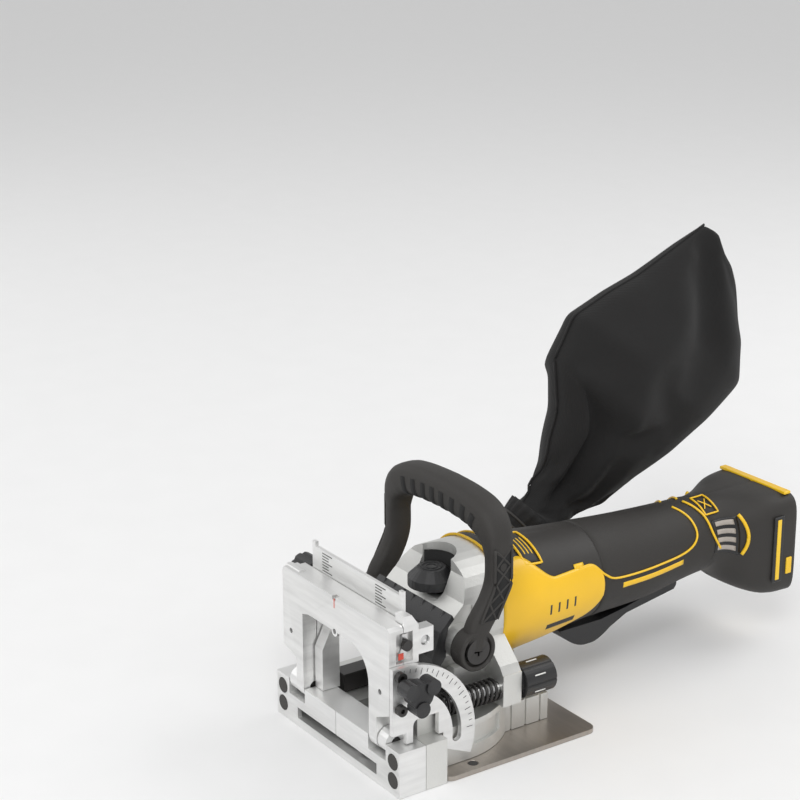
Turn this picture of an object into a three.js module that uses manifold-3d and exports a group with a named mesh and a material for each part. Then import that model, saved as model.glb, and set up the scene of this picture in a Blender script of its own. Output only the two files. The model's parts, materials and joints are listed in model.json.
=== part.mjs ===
// Cordless biscuit joiner: sliding shoe, tilting height-adjustable fence, motor carriage and dust bag.
// Millimetres, +Z up. The tool points along -Y. The origin is on the sole, below the spindle at rest.
// Inside the frame group y is measured from the shoe's front face, so the spindle rests at SPINDLE_Y.
import * as THREE from "three";
import { mergeVertices } from "three/addons/utils/BufferGeometryUtils.js";
import Module from "manifold-3d";

const wasm = await Module();
wasm.setup();

// ---------------------------------------------------------------- driving dimensions
const GAP = 0.3; // clearance between touching pieces
const SPINDLE_Y = 53; // spindle axis behind the shoe's front face at rest
const PLUNGE = 22; // travel of the carriage towards the front
const HALF_WIDTH = 69.5; // half width of the shoe
const SOLE_T = 3; // sole plate thickness
const SOLE_REAR_Y = 151; // rear edge of the sole plate
const NOSE_DEPTH = 19; // nose block, front to back
const BLOCK_REAR_Y = 34.7; // rear of the side blocks
const POST_TOP = 29.8; // top of the side posts
const NOSE_TOP = 29; // top of the nose between the notches
const NOTCH_FLOOR = 19;
const NOTCH_IN = 36; // inner side of a notch
const NOTCH_OUT = 54.8; // outer side of a notch
const SLOT = { half: 45, low: 5.5, high: 12.9 }; // mouth that the blade comes out of
const BLADE = { r: 51, z: 9.2, body: 2.6, kerf: 4, teeth: 6 };
const CHAMBER = { r: 52.6, rearY: 54, low: SOLE_T + 0.2, high: 15.2 };
const CASTING = { r: 57.5, y: 60, top: 28.5, channel: 24, tail: 42, tailRear: 133, tailTop: 21.5 };
const RAIL = { x: 31, size: 12, z: 31.2, front: 22.5, rear: 128 }; // square slide rails
const ROD = { x: 50, z: 41, r: 4, front: 27, rear: 95 }; // rod inside the return spring
const SPRING = { r: 7, wire: 1, turns: 13 };
const EAR = { x0: 41.5, x1: 57, y0: 86, y1: 100, z0: 30, z1: 51 };
const PIVOT = { y: 8, z: 29, r: 8 }; // axis that the fence tilts about
const ARCH = { half: 59, top: 105.5, t: 10, leg: 45.2, in: 37, crown: 82.5 };
const NIB_DEPTH = 6; // the centre nib stops short of the gear case at full depth
const CARRIER = { y0: 10.4, y1: 15.6, half: 58, top: 104, in: 36.5, lug0: 45.7, lug1: 54.3 };
const QUAD = { x0: ARCH.half + GAP, t: 3.5, r: 52, slotR: 38.6, slotHalf: 3.2 };
const STUD_ANGLE = 85.5; // degrees round the pivot from +Y at which the clamp stud stands
const SCALE = { y0: 16, y1: 18.3, half: 49.5, low: 84, top: 119, nib: 3 };
const PINION = { y: 26.4, z: 92, r: 5, teeth: 12 };
const AXIS_Z = 79; // motor axis above the sole
const CROWN = { teeth: 36, z: 74.25 };
const BEVEL_TEETH = 9;
const HANDLE = { half: 58.6, leg: 11.5, y: 65.6, z: 74, top: 168, grip: 22 };
const HOUSING_FRONT = 112.4;
const HOUSING_REAR = 352;
const WALL = 2.5;

// Outline of the motor housing: distance back, half width, centre height, half height, squareness.
const BODY_STATIONS = [
  [100, 38.5, 80, 38.5, 2.3],
  [125, 37.5, 80.5, 36.5, 2.2],
  [150, 35.5, 79.2, 34.5, 2.1],
  [190, 32, 78.5, 32, 2],
  [232, 30, 77.5, 30, 2],
  [290, 25.6, 80, 26, 2],
  [302, 27, 78.5, 28, 2.2],
  [316, 33, 73, 33.5, 3],
  [332, 37.4, 70, 36.8, 5],
  [353, 38.2, 70, 37, 7],
];

// ---------------------------------------------------------------- materials
function paint(color, roughness, metalness) {
  return new THREE.MeshStandardMaterial({ color, roughness, metalness });
}

const CAST = paint("#d6d6d3", 0.45, 0.9);
const STEEL = paint("#8f8881", 0.35, 1);
const DARK_STEEL = paint("#3a3836", 0.4, 0.9);
const BRIGHT_STEEL = paint("#b9b9b8", 0.25, 1);
const BLACK = paint("#1b1b1c", 0.6, 0);
const RUBBER = paint("#3c3b3a", 0.85, 0);
const YELLOW = paint("#f6c51c", 0.4, 0);
const RED = paint("#c8372d", 0.5, 0);
const COPPER = paint("#b46a3a", 0.4, 0.9);
const FABRIC = paint("#151515", 0.95, 0);

// ---------------------------------------------------------------- shape helpers
const ALONG = {
  x: new THREE.Matrix4().makeBasis(
    new THREE.Vector3(0, 1, 0),
    new THREE.Vector3(0, 0, 1),
    new THREE.Vector3(1, 0, 0),
  ),
  y: new THREE.Matrix4().makeRotationX(Math.PI / 2),
  z: new THREE.Matrix4(),
};

function solid(geometry) {
  const bare = geometry.clone();
  bare.deleteAttribute("normal");
  bare.deleteAttribute("uv");
  const merged = mergeVertices(bare, 1e-4);
  const vertProperties = merged.attributes.position.array;
  const triVerts = new Uint32Array(merged.index.array);
  return new wasm.Manifold(new wasm.Mesh({ numProp: 3, vertProperties, triVerts }));
}

function toGeometry(made) {
  const m = made.getMesh();
  const geometry = new THREE.BufferGeometry();
  geometry.setAttribute("position", new THREE.BufferAttribute(m.vertProperties, 3));
  geometry.setIndex(new THREE.BufferAttribute(m.triVerts, 1));
  geometry.computeVertexNormals();
  return geometry;
}

const join = (first, ...rest) => rest.reduce((a, b) => a.add(b), first);
const cut = (first, ...rest) => rest.reduce((a, b) => a.subtract(b), first);

function box(x0, x1, y0, y1, z0, z1) {
  const g = new THREE.BoxGeometry(x1 - x0, y1 - y0, z1 - z0);
  return solid(g.translate((x0 + x1) / 2, (y0 + y1) / 2, (z0 + z1) / 2));
}

// The same box on both sides of the middle plane.
const boxes = (x0, x1, y0, y1, z0, z1) => [box(x0, x1, y0, y1, z0, z1), box(-x1, -x0, y0, y1, z0, z1)];

// A round bar or cone along an axis; at gives the two other coordinates in X, Y, Z order.
function bar(axis, r0, r1, from, to, at, sides = 18) {
  const g = new THREE.CylinderGeometry(r1, r0, to - from, sides);
  const middle = (from + to) / 2;
  if (axis === "x") g.rotateZ(-Math.PI / 2).translate(middle, at[0], at[1]);
  if (axis === "y") g.translate(at[0], middle, at[1]);
  if (axis === "z") g.rotateX(Math.PI / 2).translate(at[0], at[1], middle);
  return solid(g);
}

const ring = (axis, outer, inner, from, to, at, sides = 20) =>
  cut(bar(axis, outer, outer, from, to, at, sides), bar(axis, inner, inner, from - 1, to + 1, at, sides));

// A flat shape pushed along an axis: (x, z) for y, (y, z) for x and (x, y) for z.
function slab(axis, shape, from, to, options = {}) {
  const points = Array.isArray(shape) && shape.map(([a, b]) => new THREE.Vector2(a, b));
  const outline = points ? new THREE.Shape(points) : shape;
  const g = new THREE.ExtrudeGeometry(outline, {
    depth: to - from,
    bevelEnabled: false,
    curveSegments: 5,
    ...options,
  });
  g.applyMatrix4(ALONG[axis]);
  if (axis === "x") g.translate(from, 0, 0);
  if (axis === "y") g.translate(0, to, 0);
  if (axis === "z") g.translate(0, 0, from);
  return solid(g);
}

function roundedRect(x0, x1, y0, y1, r) {
  const s = new THREE.Shape();
  s.moveTo(x0 + r, y0).lineTo(x1 - r, y0).absarc(x1 - r, y0 + r, r, -Math.PI / 2, 0, false);
  s.lineTo(x1, y1 - r).absarc(x1 - r, y1 - r, r, 0, Math.PI / 2, false);
  s.lineTo(x0 + r, y1).absarc(x0 + r, y1 - r, r, Math.PI / 2, Math.PI, false);
  s.lineTo(x0, y0 + r).absarc(x0 + r, y0 + r, r, Math.PI, Math.PI * 1.5, false);
  return s;
}

// A band between two radii and two angles, in degrees.
function sector(cx, cy, inner, outer, a0, a1) {
  const s = new THREE.Shape();
  const [r0, r1] = [THREE.MathUtils.degToRad(a0), THREE.MathUtils.degToRad(a1)];
  s.absarc(cx, cy, outer, r0, r1, false);
  s.absarc(cx, cy, inner, r1, r0, true);
  return s;
}

// A curved tube or wire: a round section pushed along a smooth path.
function tube(points, r, steps, sides = 12) {
  const path = new THREE.CatmullRomCurve3(points.map((p) => new THREE.Vector3(...p)));
  const section = new THREE.Shape();
  section.absarc(0, 0, r, 0, Math.PI * 2, false);
  const options = { steps, extrudePath: path, bevelEnabled: false, curveSegments: sides / 2 };
  return solid(new THREE.ExtrudeGeometry(section, options));
}

// Values between the body stations.
function bodyAt(y) {
  const last = BODY_STATIONS.length - 1;
  const found = BODY_STATIONS.findIndex((s, i) => i === last || y < BODY_STATIONS[i + 1][0]);
  const i = Math.min(found, last - 1);
  const [a, b] = [BODY_STATIONS[i], BODY_STATIONS[i + 1]];
  const t = THREE.MathUtils.clamp((y - a[0]) / (b[0] - a[0]), 0, 1);
  return a.map((v, k) => THREE.MathUtils.lerp(v, b[k], t));
}

// The housing's outline from y0 to y1, grown or shrunk by offset: a round bar whose rings are reshaped.
function bodyLoft(y0, y1, offset, sides = 28) {
  const between = BODY_STATIONS.map((s) => s[0]).filter((y) => y > y0 + 0.01 && y < y1 - 0.01);
  const rings = [y0, ...between, y1];
  const last = rings.length - 1;
  const g = new THREE.CylinderGeometry(1, 1, 1, sides, last);
  const p = g.attributes.position;
  for (let i = 0; i < p.count; i++) {
    const y = rings[Math.round((p.getY(i) + 0.5) * last)];
    const [, half, zc, high, n] = bodyAt(y);
    const [x, z] = [p.getX(i), p.getZ(i)];
    const far = Math.hypot(x, z);
    const square = far < 1e-6 ? 0 : (Math.abs(x) ** n + Math.abs(z) ** n) ** (-1 / n) * far;
    p.setXYZ(i, x * square * (half + offset), y, zc + z * square * (high + offset));
  }
  return solid(g);
}

// ---------------------------------------------------------------- scene graph
const frame = new THREE.Group();
frame.position.y = -SPINDLE_Y;

function place(name, made, material) {
  const mesh = new THREE.Mesh(toGeometry(made), material);
  mesh.name = name;
  frame.add(mesh);
}

const bothSides = (make) => [["right", 1], ["left", -1]].forEach(([side, s]) => make(side, s));

// ---------------------------------------------------------------- shoe
const soleScrewX = 62.6;
const soleScrewY = 59;

function solePlate() {
  const outline = roundedRect(-HALF_WIDTH - 0.4, HALF_WIDTH + 0.4, BLOCK_REAR_Y + GAP, SOLE_REAR_Y, 6);
  const plate = slab("z", outline, 0, SOLE_T);
  const holes = [1, -1].map((s) => bar("z", 1.7, 3.8, -0.5, SOLE_T + 0.5, [s * soleScrewX, soleScrewY], 20));
  return cut(plate, ...holes);
}

function soleScrew(s) {
  return bar("z", 1.2, 3, 0.4, SOLE_T - 0.2, [s * soleScrewX, soleScrewY], 20);
}

// The space that the blade, its flange and its nut sweep on the way to full depth.
function bladeSweep(extra) {
  const outline = new THREE.Shape();
  const r = CHAMBER.r + extra;
  outline.absarc(0, SPINDLE_Y - PLUNGE, r, Math.PI, 2 * Math.PI, false);
  outline.absarc(0, CHAMBER.rearY, r, 0, Math.PI, false);
  return outline;
}

function noseBlock() {
  const outline = [
    [-HALF_WIDTH, 0], [HALF_WIDTH, 0], [HALF_WIDTH, POST_TOP], [NOTCH_OUT, POST_TOP],
    [NOTCH_OUT, NOTCH_FLOOR], [NOTCH_IN, NOTCH_FLOOR], [NOTCH_IN, NOSE_TOP], [-NOTCH_IN, NOSE_TOP],
    [-NOTCH_IN, NOTCH_FLOOR], [-NOTCH_OUT, NOTCH_FLOOR], [-NOTCH_OUT, POST_TOP], [-HALF_WIDTH, POST_TOP],
  ];
  const block = slab("y", outline, 0, NOSE_DEPTH);
  const mouth = box(-SLOT.half, SLOT.half, -1, 4, SLOT.low, SLOT.high);
  const behind = box(-52, 52, 3, NOSE_DEPTH + 1, SLOT.low, SLOT.high);
  const nutRoom = bar("z", 15.4, 15.4, 3.4, CHAMBER.high, [0, SPINDLE_Y - PLUNGE], 32);
  const mark = box(-0.4, 0.4, -1, 0.5, SLOT.high - 1, NOSE_TOP + 1);
  const pads = padPlaces().map(([x, z]) => bar("y", 5.3, 5.3, -1, 2.5, [x, z], 20));
  return cut(block, mouth, behind, nutRoom, mark, ...pads);
}

function padPlaces() {
  return [1, -1].flatMap((s) => [[s * 62.3, 9.3], [s * 62.3, 21.5]]);
}

function bladeHousing() {
  const front = NOSE_DEPTH + GAP;
  const sides = boxes(NOTCH_OUT, HALF_WIDTH, front, BLOCK_REAR_Y, 0, POST_TOP);
  const sill = box(-HALF_WIDTH + 1, HALF_WIDTH - 1, front, BLOCK_REAR_Y, 0, CASTING.channel);
  const drum = new THREE.Shape();
  drum.moveTo(-CASTING.r, front).lineTo(CASTING.r, front);
  drum.absarc(0, CASTING.y, CASTING.r, 0, Math.PI, false);
  const body = slab("z", drum, SOLE_T + GAP, CASTING.top, { curveSegments: 14 });
  const tail = box(-CASTING.tail, CASTING.tail, CASTING.y, CASTING.tailRear, SOLE_T + GAP, CASTING.tailTop);
  const lug = box(EAR.x0, EAR.x1, 21.5, 35, CASTING.top - 1, EAR.z1 - 1);
  const whole = join(body, ...sides, sill, tail, lug);
  const chamber = slab("z", bladeSweep(0), CHAMBER.low, CHAMBER.high, { curveSegments: 14 });
  const wide = RAIL.x + 8;
  const channel = box(-wide, wide, front - 1, CASTING.tailRear + 1, CASTING.channel, CASTING.top + 1);
  const spindleWay = join(
    box(-12, 12, front - 1, SPINDLE_Y, CHAMBER.high - 1, CASTING.top),
    bar("z", 12, 12, CHAMBER.high - 1, CASTING.top, [0, SPINDLE_Y], 24),
  );
  const recess = slab("z", sector(0, CASTING.y, CASTING.r - 2.2, CASTING.r + 3, 4, 30), 12, 24.5);
  const grooves = [103, 114.5, 126].flatMap((y) =>
    boxes(CASTING.tail - 1.2, CASTING.tail + 1, y, y + 1.4, 0, 30),
  );
  const rodHole = bar("y", ROD.r + GAP, ROD.r + GAP, 20, 40, [ROD.x, ROD.z]);
  const dustWay = tube(dustPath(), 8.6, 12);
  return cut(whole, chamber, channel, spindleWay, recess, ...grooves, rodHole, dustWay);
}

function guideRail(s) {
  const half = RAIL.size / 2;
  const x = s * RAIL.x;
  const rail = box(x - half, x + half, RAIL.front, RAIL.rear, RAIL.z - half, RAIL.z + half);
  const foot = box(x - 3, x + 3, RAIL.front + 2, RAIL.rear - 2, CASTING.channel + GAP, RAIL.z);
  return join(rail, foot);
}

function springRod() {
  return join(
    bar("y", ROD.r, ROD.r, ROD.front, ROD.rear, [ROD.x, ROD.z]),
    bar("y", 6.5, 6.5, BLOCK_REAR_Y + 0.6, BLOCK_REAR_Y + 2, [ROD.x, ROD.z]),
  );
}

function returnSpring() {
  const [from, to] = [38, EAR.y0 - 1.4];
  const perTurn = 7;
  const points = [];
  for (let i = 0; i <= SPRING.turns * perTurn; i++) {
    const a = (i / perTurn) * 2 * Math.PI;
    const y = THREE.MathUtils.lerp(from, to, i / (SPRING.turns * perTurn));
    points.push([ROD.x + SPRING.r * Math.cos(a), y, ROD.z + SPRING.r * Math.sin(a)]);
  }
  return tube(points, SPRING.wire, SPRING.turns * perTurn, 4);
}

// ---------------------------------------------------------------- height guide and dust outlet
function guideFrame() {
  const [x0, x1] = [27, CARRIER.in - 0.8];
  const foot = NOSE_TOP + GAP;
  const side = [[8, foot], [20.6, foot], [20.6, 88], [SCALE.y0, 88], [SCALE.y0, 73], [8, 57]];
  const columns = [slab("x", side, x0, x1), slab("x", side, -x1, -x0)];
  const plate = box(-SCALE.half, SCALE.half, SCALE.y0, SCALE.y1, SCALE.low, SCALE.top);
  const nibs = boxes(SCALE.half - 3.5, SCALE.half, SCALE.y0, SCALE.y1, SCALE.top - 1, SCALE.top + SCALE.nib);
  const rack = boxes(38, 45, SCALE.y1 - 0.5, PINION.y - PINION.r - 1.2, SCALE.low, SCALE.top - 2);
  const pitch = (2 * Math.PI * PINION.r) / PINION.teeth;
  const gaps = [];
  for (let z = PINION.z - 2 * pitch; z < SCALE.top - 3; z += pitch) {
    gaps.push(...boxes(37, 46, SCALE.y1 + 0.6, PINION.y, z - 0.95, z + 0.95));
  }
  return cut(join(plate, ...columns, ...nibs, ...rack), ...gaps);
}

function dustPath() {
  return [[-44, 66, 14.5], [-58, 88, 17], [-66, 118, 30], [-63, 152, 60], [-57, 184, 86]];
}

function dustEnd() {
  const [a, b] = dustPath().slice(-2).map((p) => new THREE.Vector3(...p));
  return { at: b, along: b.clone().sub(a).normalize() };
}

function dustOutlet() {
  const outer = tube(dustPath(), 11, 12);
  const inner = tube(dustPath(), 8.6, 12);
  const mouth = bar("z", CASTING.r + GAP, CASTING.r + GAP, 0, 40, [0, CASTING.y], 48);
  const floor = box(-120, 0, 0, 200, -10, SOLE_T + GAP);
  return cut(outer, inner, mouth, floor);
}

function dustCollar() {
  const { at, along } = dustEnd();
  const profile = [[11.6, -9], [15.5, -9], [15.5, -7], [17, -5], [17, 2], [15, 4], [11.6, 4], [11.6, -9]];
  const g = new THREE.LatheGeometry(profile.map(([r, h]) => new THREE.Vector2(r, h)), 20);
  g.applyQuaternion(new THREE.Quaternion().setFromUnitVectors(new THREE.Vector3(0, 1, 0), along));
  return solid(g.translate(at.x, at.y, at.z));
}

function dustBag() {
  const s = new THREE.Shape();
  s.moveTo(203, 101).quadraticCurveTo(210, 125, 216, 165).quadraticCurveTo(206, 205, 214, 222);
  s.quadraticCurveTo(232, 243, 284, 254).lineTo(325, 275).quadraticCurveTo(345, 287, 352, 282);
  s.quadraticCurveTo(366, 262, 382, 190).quadraticCurveTo(394, 168, 381, 156);
  s.lineTo(300, 116).quadraticCurveTo(272, 92, 240, 88).quadraticCurveTo(220, 84, 203, 101);
  const side = slab("x", s, -100, -20, { curveSegments: 5 });
  const across = [
    [-84, 80], [-42, 80], [-42, 120], [-27, 160], [-27, 262], [-38, 290], [-78, 290], [-95, 262], [-95, 130],
  ];
  return side.intersect(slab("y", across, 150, 420));
}

// ---------------------------------------------------------------- height carrier and tilting fence
const studAt = [
  PIVOT.y + QUAD.slotR * Math.cos(THREE.MathUtils.degToRad(STUD_ANGLE)),
  PIVOT.z + QUAD.slotR * Math.sin(THREE.MathUtils.degToRad(STUD_ANGLE)),
];
const LEVER = [17.4, 64]; // y and z of the height lock lever
const WINDOW = { y0: 5, y1: 16.8, z0: 82, z1: 101 };

function heightCarrier() {
  const { y0, y1, half, top, in: inner, lug0, lug1 } = CARRIER;
  const wings = boxes(inner, half, y0, y1, 46, top);
  const beam = box(-half, half, y0, y1, 82, top);
  const lugBacks = boxes(lug0, lug1, y0, y1, PIVOT.z, 47);
  const lugs = [[lug0, lug1], [-lug1, -lug0]].flatMap(([a, b]) => [
    bar("x", PIVOT.r - 0.3, PIVOT.r - 0.3, a, b, [PIVOT.y, PIVOT.z]),
    box(a, b, PIVOT.y, y1, PIVOT.z - PIVOT.r + 0.3, PIVOT.z + 6),
  ]);
  const brackets = boxes(SCALE.half + 0.8, half, y1 - 1, PINION.y + 6, PINION.z - 8, PINION.z + 8);
  const cheek = slab("x", [[y0, 80], [21, 80], [21, 104], [16, 111], [y0, 111]], SCALE.half + 0.8, ARCH.half);
  const clamp = box(SCALE.half + 0.8, ARCH.half, y0, studAt[0] + 10, studAt[1] - 10, studAt[1] + 8);
  const leverBoss = box(-half, -SCALE.half - 0.8, y0, LEVER[0] + 6, LEVER[1] - 7, LEVER[1] + 7);
  const whole = join(beam, ...wings, ...lugBacks, ...lugs, ...brackets, cheek, clamp, leverBoss);
  const shaftHole = bar("x", 3.3, 3.3, -half - 5, half + 5, [PINION.y, PINION.z]);
  const pinHoles = bar("x", 3.3, 3.3, -60, 60, [PIVOT.y, PIVOT.z]);
  const window = box(ARCH.half - 3.5, ARCH.half + 1, WINDOW.y0, WINDOW.y1, WINDOW.z0, WINDOW.z1);
  const pointerHole = bar("x", 1.9, 1.9, ARCH.half - 8, ARCH.half, [12.8, 92.4], 12);
  const stud = bar("x", 3.3, 3.3, SCALE.half + 3, ARCH.half + 1, studAt);
  const leverHole = bar("x", 3.3, 3.3, -half - 1, -half + 4, LEVER);
  return cut(whole, shaftHole, pinHoles, window, pointerHole, stud, leverHole);
}

function pivotPin(s) {
  const [a, b] = [ARCH.in + 0.6, CARRIER.lug1 + 0.2].map((v) => s * v).sort((p, q) => p - q);
  return bar("x", 3, 3, a, b, [PIVOT.y, PIVOT.z]);
}

function tiltStud() {
  return bar("x", 3, 3, SCALE.half + 3.5, 76, studAt);
}

function anglePointer() {
  const side = [[7, 83.2], [13, 83.2], [14.6, 90], [14.6, 99], [10.7, 99], [10.7, 90]];
  const blade = slab("x", side, ARCH.half - 3.2, ARCH.half - 2.2);
  return cut(blade, bar("x", 1.9, 1.9, ARCH.half - 5, ARCH.half, [12.8, 92.4], 12));
}

function pointerScrew() {
  const head = bar("x", 3.4, 3.4, ARCH.half - 1.9, ARCH.half + 1, [12.8, 92.4], 16);
  return join(head, bar("x", 1.6, 1.6, ARCH.half - 7, ARCH.half - 1, [12.8, 92.4], 12));
}

// A pinion with straight teeth on a shaft; angle puts a tooth in a rack gap.
function pinionShaft() {
  const shaft = bar("x", 3, 3, -77.6, CARRIER.half - 2, [PINION.y, PINION.z]);
  const gears = [[38.3, 44.7], [-44.7, -38.3]].map(([a, b]) => {
    const teeth = [];
    for (let i = 0; i < PINION.teeth; i++) {
      const t = [[0, -0.75], [PINION.r + 0.7, -0.4], [PINION.r + 0.7, 0.4], [0, 0.75]];
      const turn = Math.PI + (i * 2 * Math.PI) / PINION.teeth;
      const spun = t.map(([u, v]) => [
        PINION.y + u * Math.cos(turn) - v * Math.sin(turn),
        PINION.z + u * Math.sin(turn) + v * Math.cos(turn),
      ]);
      teeth.push(slab("x", spun, a, b));
    }
    return join(bar("x", 4, 4, a, b, [PINION.y, PINION.z], 24), ...teeth);
  });
  return join(shaft, ...gears);
}

function fluted(axis, r, from, to, at, flutes, depth) {
  const core = bar(axis, r, r, from, to, at, 36);
  const cuts = [];
  for (let i = 0; i < flutes; i++) {
    const a = (i * 2 * Math.PI) / flutes;
    const place2 = [at[0] + (r + depth) * Math.cos(a), at[1] + (r + depth) * Math.sin(a)];
    cuts.push(bar(axis, depth * 1.8, depth * 1.8, from - 1, to + 1, place2, 8));
  }
  return cut(core, ...cuts);
}

function heightKnob() {
  const at = [PINION.y, PINION.z];
  return cut(fluted("x", 9.5, -79, -61, at, 8, 1.2), bar("x", 3 + GAP, 3 + GAP, -78, -60, at));
}

function heightLockLever() {
  const hub = bar("x", 6, 6, -CARRIER.half - 9, -CARRIER.half - 0.5, LEVER);
  const shank = bar("x", 3, 3, -CARRIER.half - 2, -CARRIER.half + 3.5, LEVER);
  const side = [[13, 62], [22, 62], [26, 37], [22, 34], [18, 36]];
  const arm = slab("x", side, -CARRIER.half - 8, -CARRIER.half - 3);
  return join(hub, shank, arm);
}

function fenceArch() {
  const { half, top, t, leg, in: inner, crown } = ARCH;
  const s = new THREE.Shape();
  s.moveTo(-leg, PIVOT.z).lineTo(-inner, PIVOT.z).lineTo(-inner, crown - 2).lineTo(-30, crown);
  s.lineTo(17, crown).absarc(17, crown - 20, 20, Math.PI / 2, 0, true).lineTo(inner, PIVOT.z);
  s.lineTo(leg, PIVOT.z).lineTo(leg, 44).lineTo(half, 50).lineTo(half, top - 2).lineTo(half - 2, top);
  s.lineTo(-half + 1, top).lineTo(-half - 1, top - 3).lineTo(-half - 1, 52).lineTo(-leg, 48);
  const body = slab("y", s, 0, t);
  const ends = [[inner, leg], [-leg, -inner]].map(([a, b]) =>
    bar("x", PIVOT.r, PIVOT.r, a, b, [PIVOT.y, PIVOT.z]),
  );
  const boss = bar("x", 5, 5, -half - 1, -44, [5, top - 4.2]);
  const nib = bar("y", 3.2, 3.2, 0, NIB_DEPTH, [0, crown]);
  const whole = join(body, ...ends, boss, nib);
  const pinHoles = bar("x", 3.3, 3.3, -60, 60, [PIVOT.y, PIVOT.z]);
  const window = box(half - 3.5, half + 1, WINDOW.y0, t + 1, WINDOW.z0, WINDOW.z1);
  const holes = [[-51, 64], [49, 62], [0, crown]].map(([x, z]) => bar("y", 1.8, 1.8, -1, t + 1, [x, z], 12));
  const screwHoles = quadrantScrewPlaces().map((p) => bar("x", 2.2, 2.2, half - 9, half + 1, p, 12));
  const mark = box(-2, 2, -1, 3, top - 2.5, top + 1);
  const studRoom = box(50, half + 1, studAt[0] - 3.6, t + 1, studAt[1] - 4, studAt[1] + 4);
  return cut(whole, pinHoles, window, ...holes, ...screwHoles, mark, studRoom);
}

function quadrantScrewPlaces() {
  return [[4.2, 76.4], [4.5, 55]];
}

function tiltQuadrant() {
  const { x0, t, r, slotR, slotHalf } = QUAD;
  const rad = THREE.MathUtils.degToRad;
  const s = new THREE.Shape();
  const foot = POST_TOP + 0.8;
  s.moveTo(0, PIVOT.z + r).lineTo(0, 38).lineTo(9.6, 38).lineTo(9.6, foot).lineTo(14.4, foot);
  s.lineTo(14.4, 40).quadraticCurveTo(14.4, 45, 19, 45).lineTo(33, 45).lineTo(33, foot);
  s.lineTo(36.4, foot).lineTo(36.4, 20);
  s.lineTo(PIVOT.y + r * Math.cos(rad(-20)), PIVOT.z + r * Math.sin(rad(-20)));
  s.absarc(PIVOT.y, PIVOT.z, r, rad(-20), rad(90), false);
  const plate = slab("x", s, x0, x0 + t, { curveSegments: 12 });
  const [a0, a1] = [STUD_ANGLE - 90 - 1.5, STUD_ANGLE + 1.5];
  const band = sector(PIVOT.y, PIVOT.z, slotR - slotHalf, slotR + slotHalf, a0, a1);
  const slot = slab("x", band, x0 - 1, x0 + t + 1, { curveSegments: 8 });
  const ends = [a0, a1].map((a) => {
    const at = [PIVOT.y + slotR * Math.cos(rad(a)), PIVOT.z + slotR * Math.sin(rad(a))];
    return bar("x", slotHalf, slotHalf, x0 - 1, x0 + t + 1, at);
  });
  const holes = quadrantScrewPlaces().map((p) => bar("x", 2.2, 2.2, x0 - 1, x0 + t + 1, p, 12));
  return cut(plate, slot, ...ends, ...holes);
}

function quadrantScrew(at) {
  const x = QUAD.x0 + QUAD.t;
  const head = bar("x", 3.4, 3.4, x + GAP, x + 4, at, 20);
  const socket = bar("x", 1.6, 1.6, x + 2, x + 5, at, 6);
  return cut(join(head, bar("x", 1.9, 1.9, ARCH.half - 8, x + 1, at, 12)), socket);
}

// Clamp knob with three lobes on a conical neck.
function tiltKnob() {
  const x = QUAD.x0 + QUAD.t;
  const neck = bar("x", 5.6, 8, x + GAP, x + 7, studAt);
  const lobes = [0, 1, 2].map((i) => {
    const a = 0.5 + (i * 2 * Math.PI) / 3;
    const at = [studAt[0] + 8.5 * Math.cos(a), studAt[1] + 8.5 * Math.sin(a)];
    return bar("x", 5, 5, x + 6, x + 16, at, 18);
  });
  const body = join(neck, bar("x", 8, 8, x + 6, x + 15, studAt), ...lobes);
  return cut(body, bar("x", 3 + GAP, 3 + GAP, x - 1, 76.6, studAt));
}

// ---------------------------------------------------------------- carriage
const LOCK_BUTTON = [0, 72]; // x and y of the spindle lock button
const LOCK_R = 15; // radius of its cap

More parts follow.
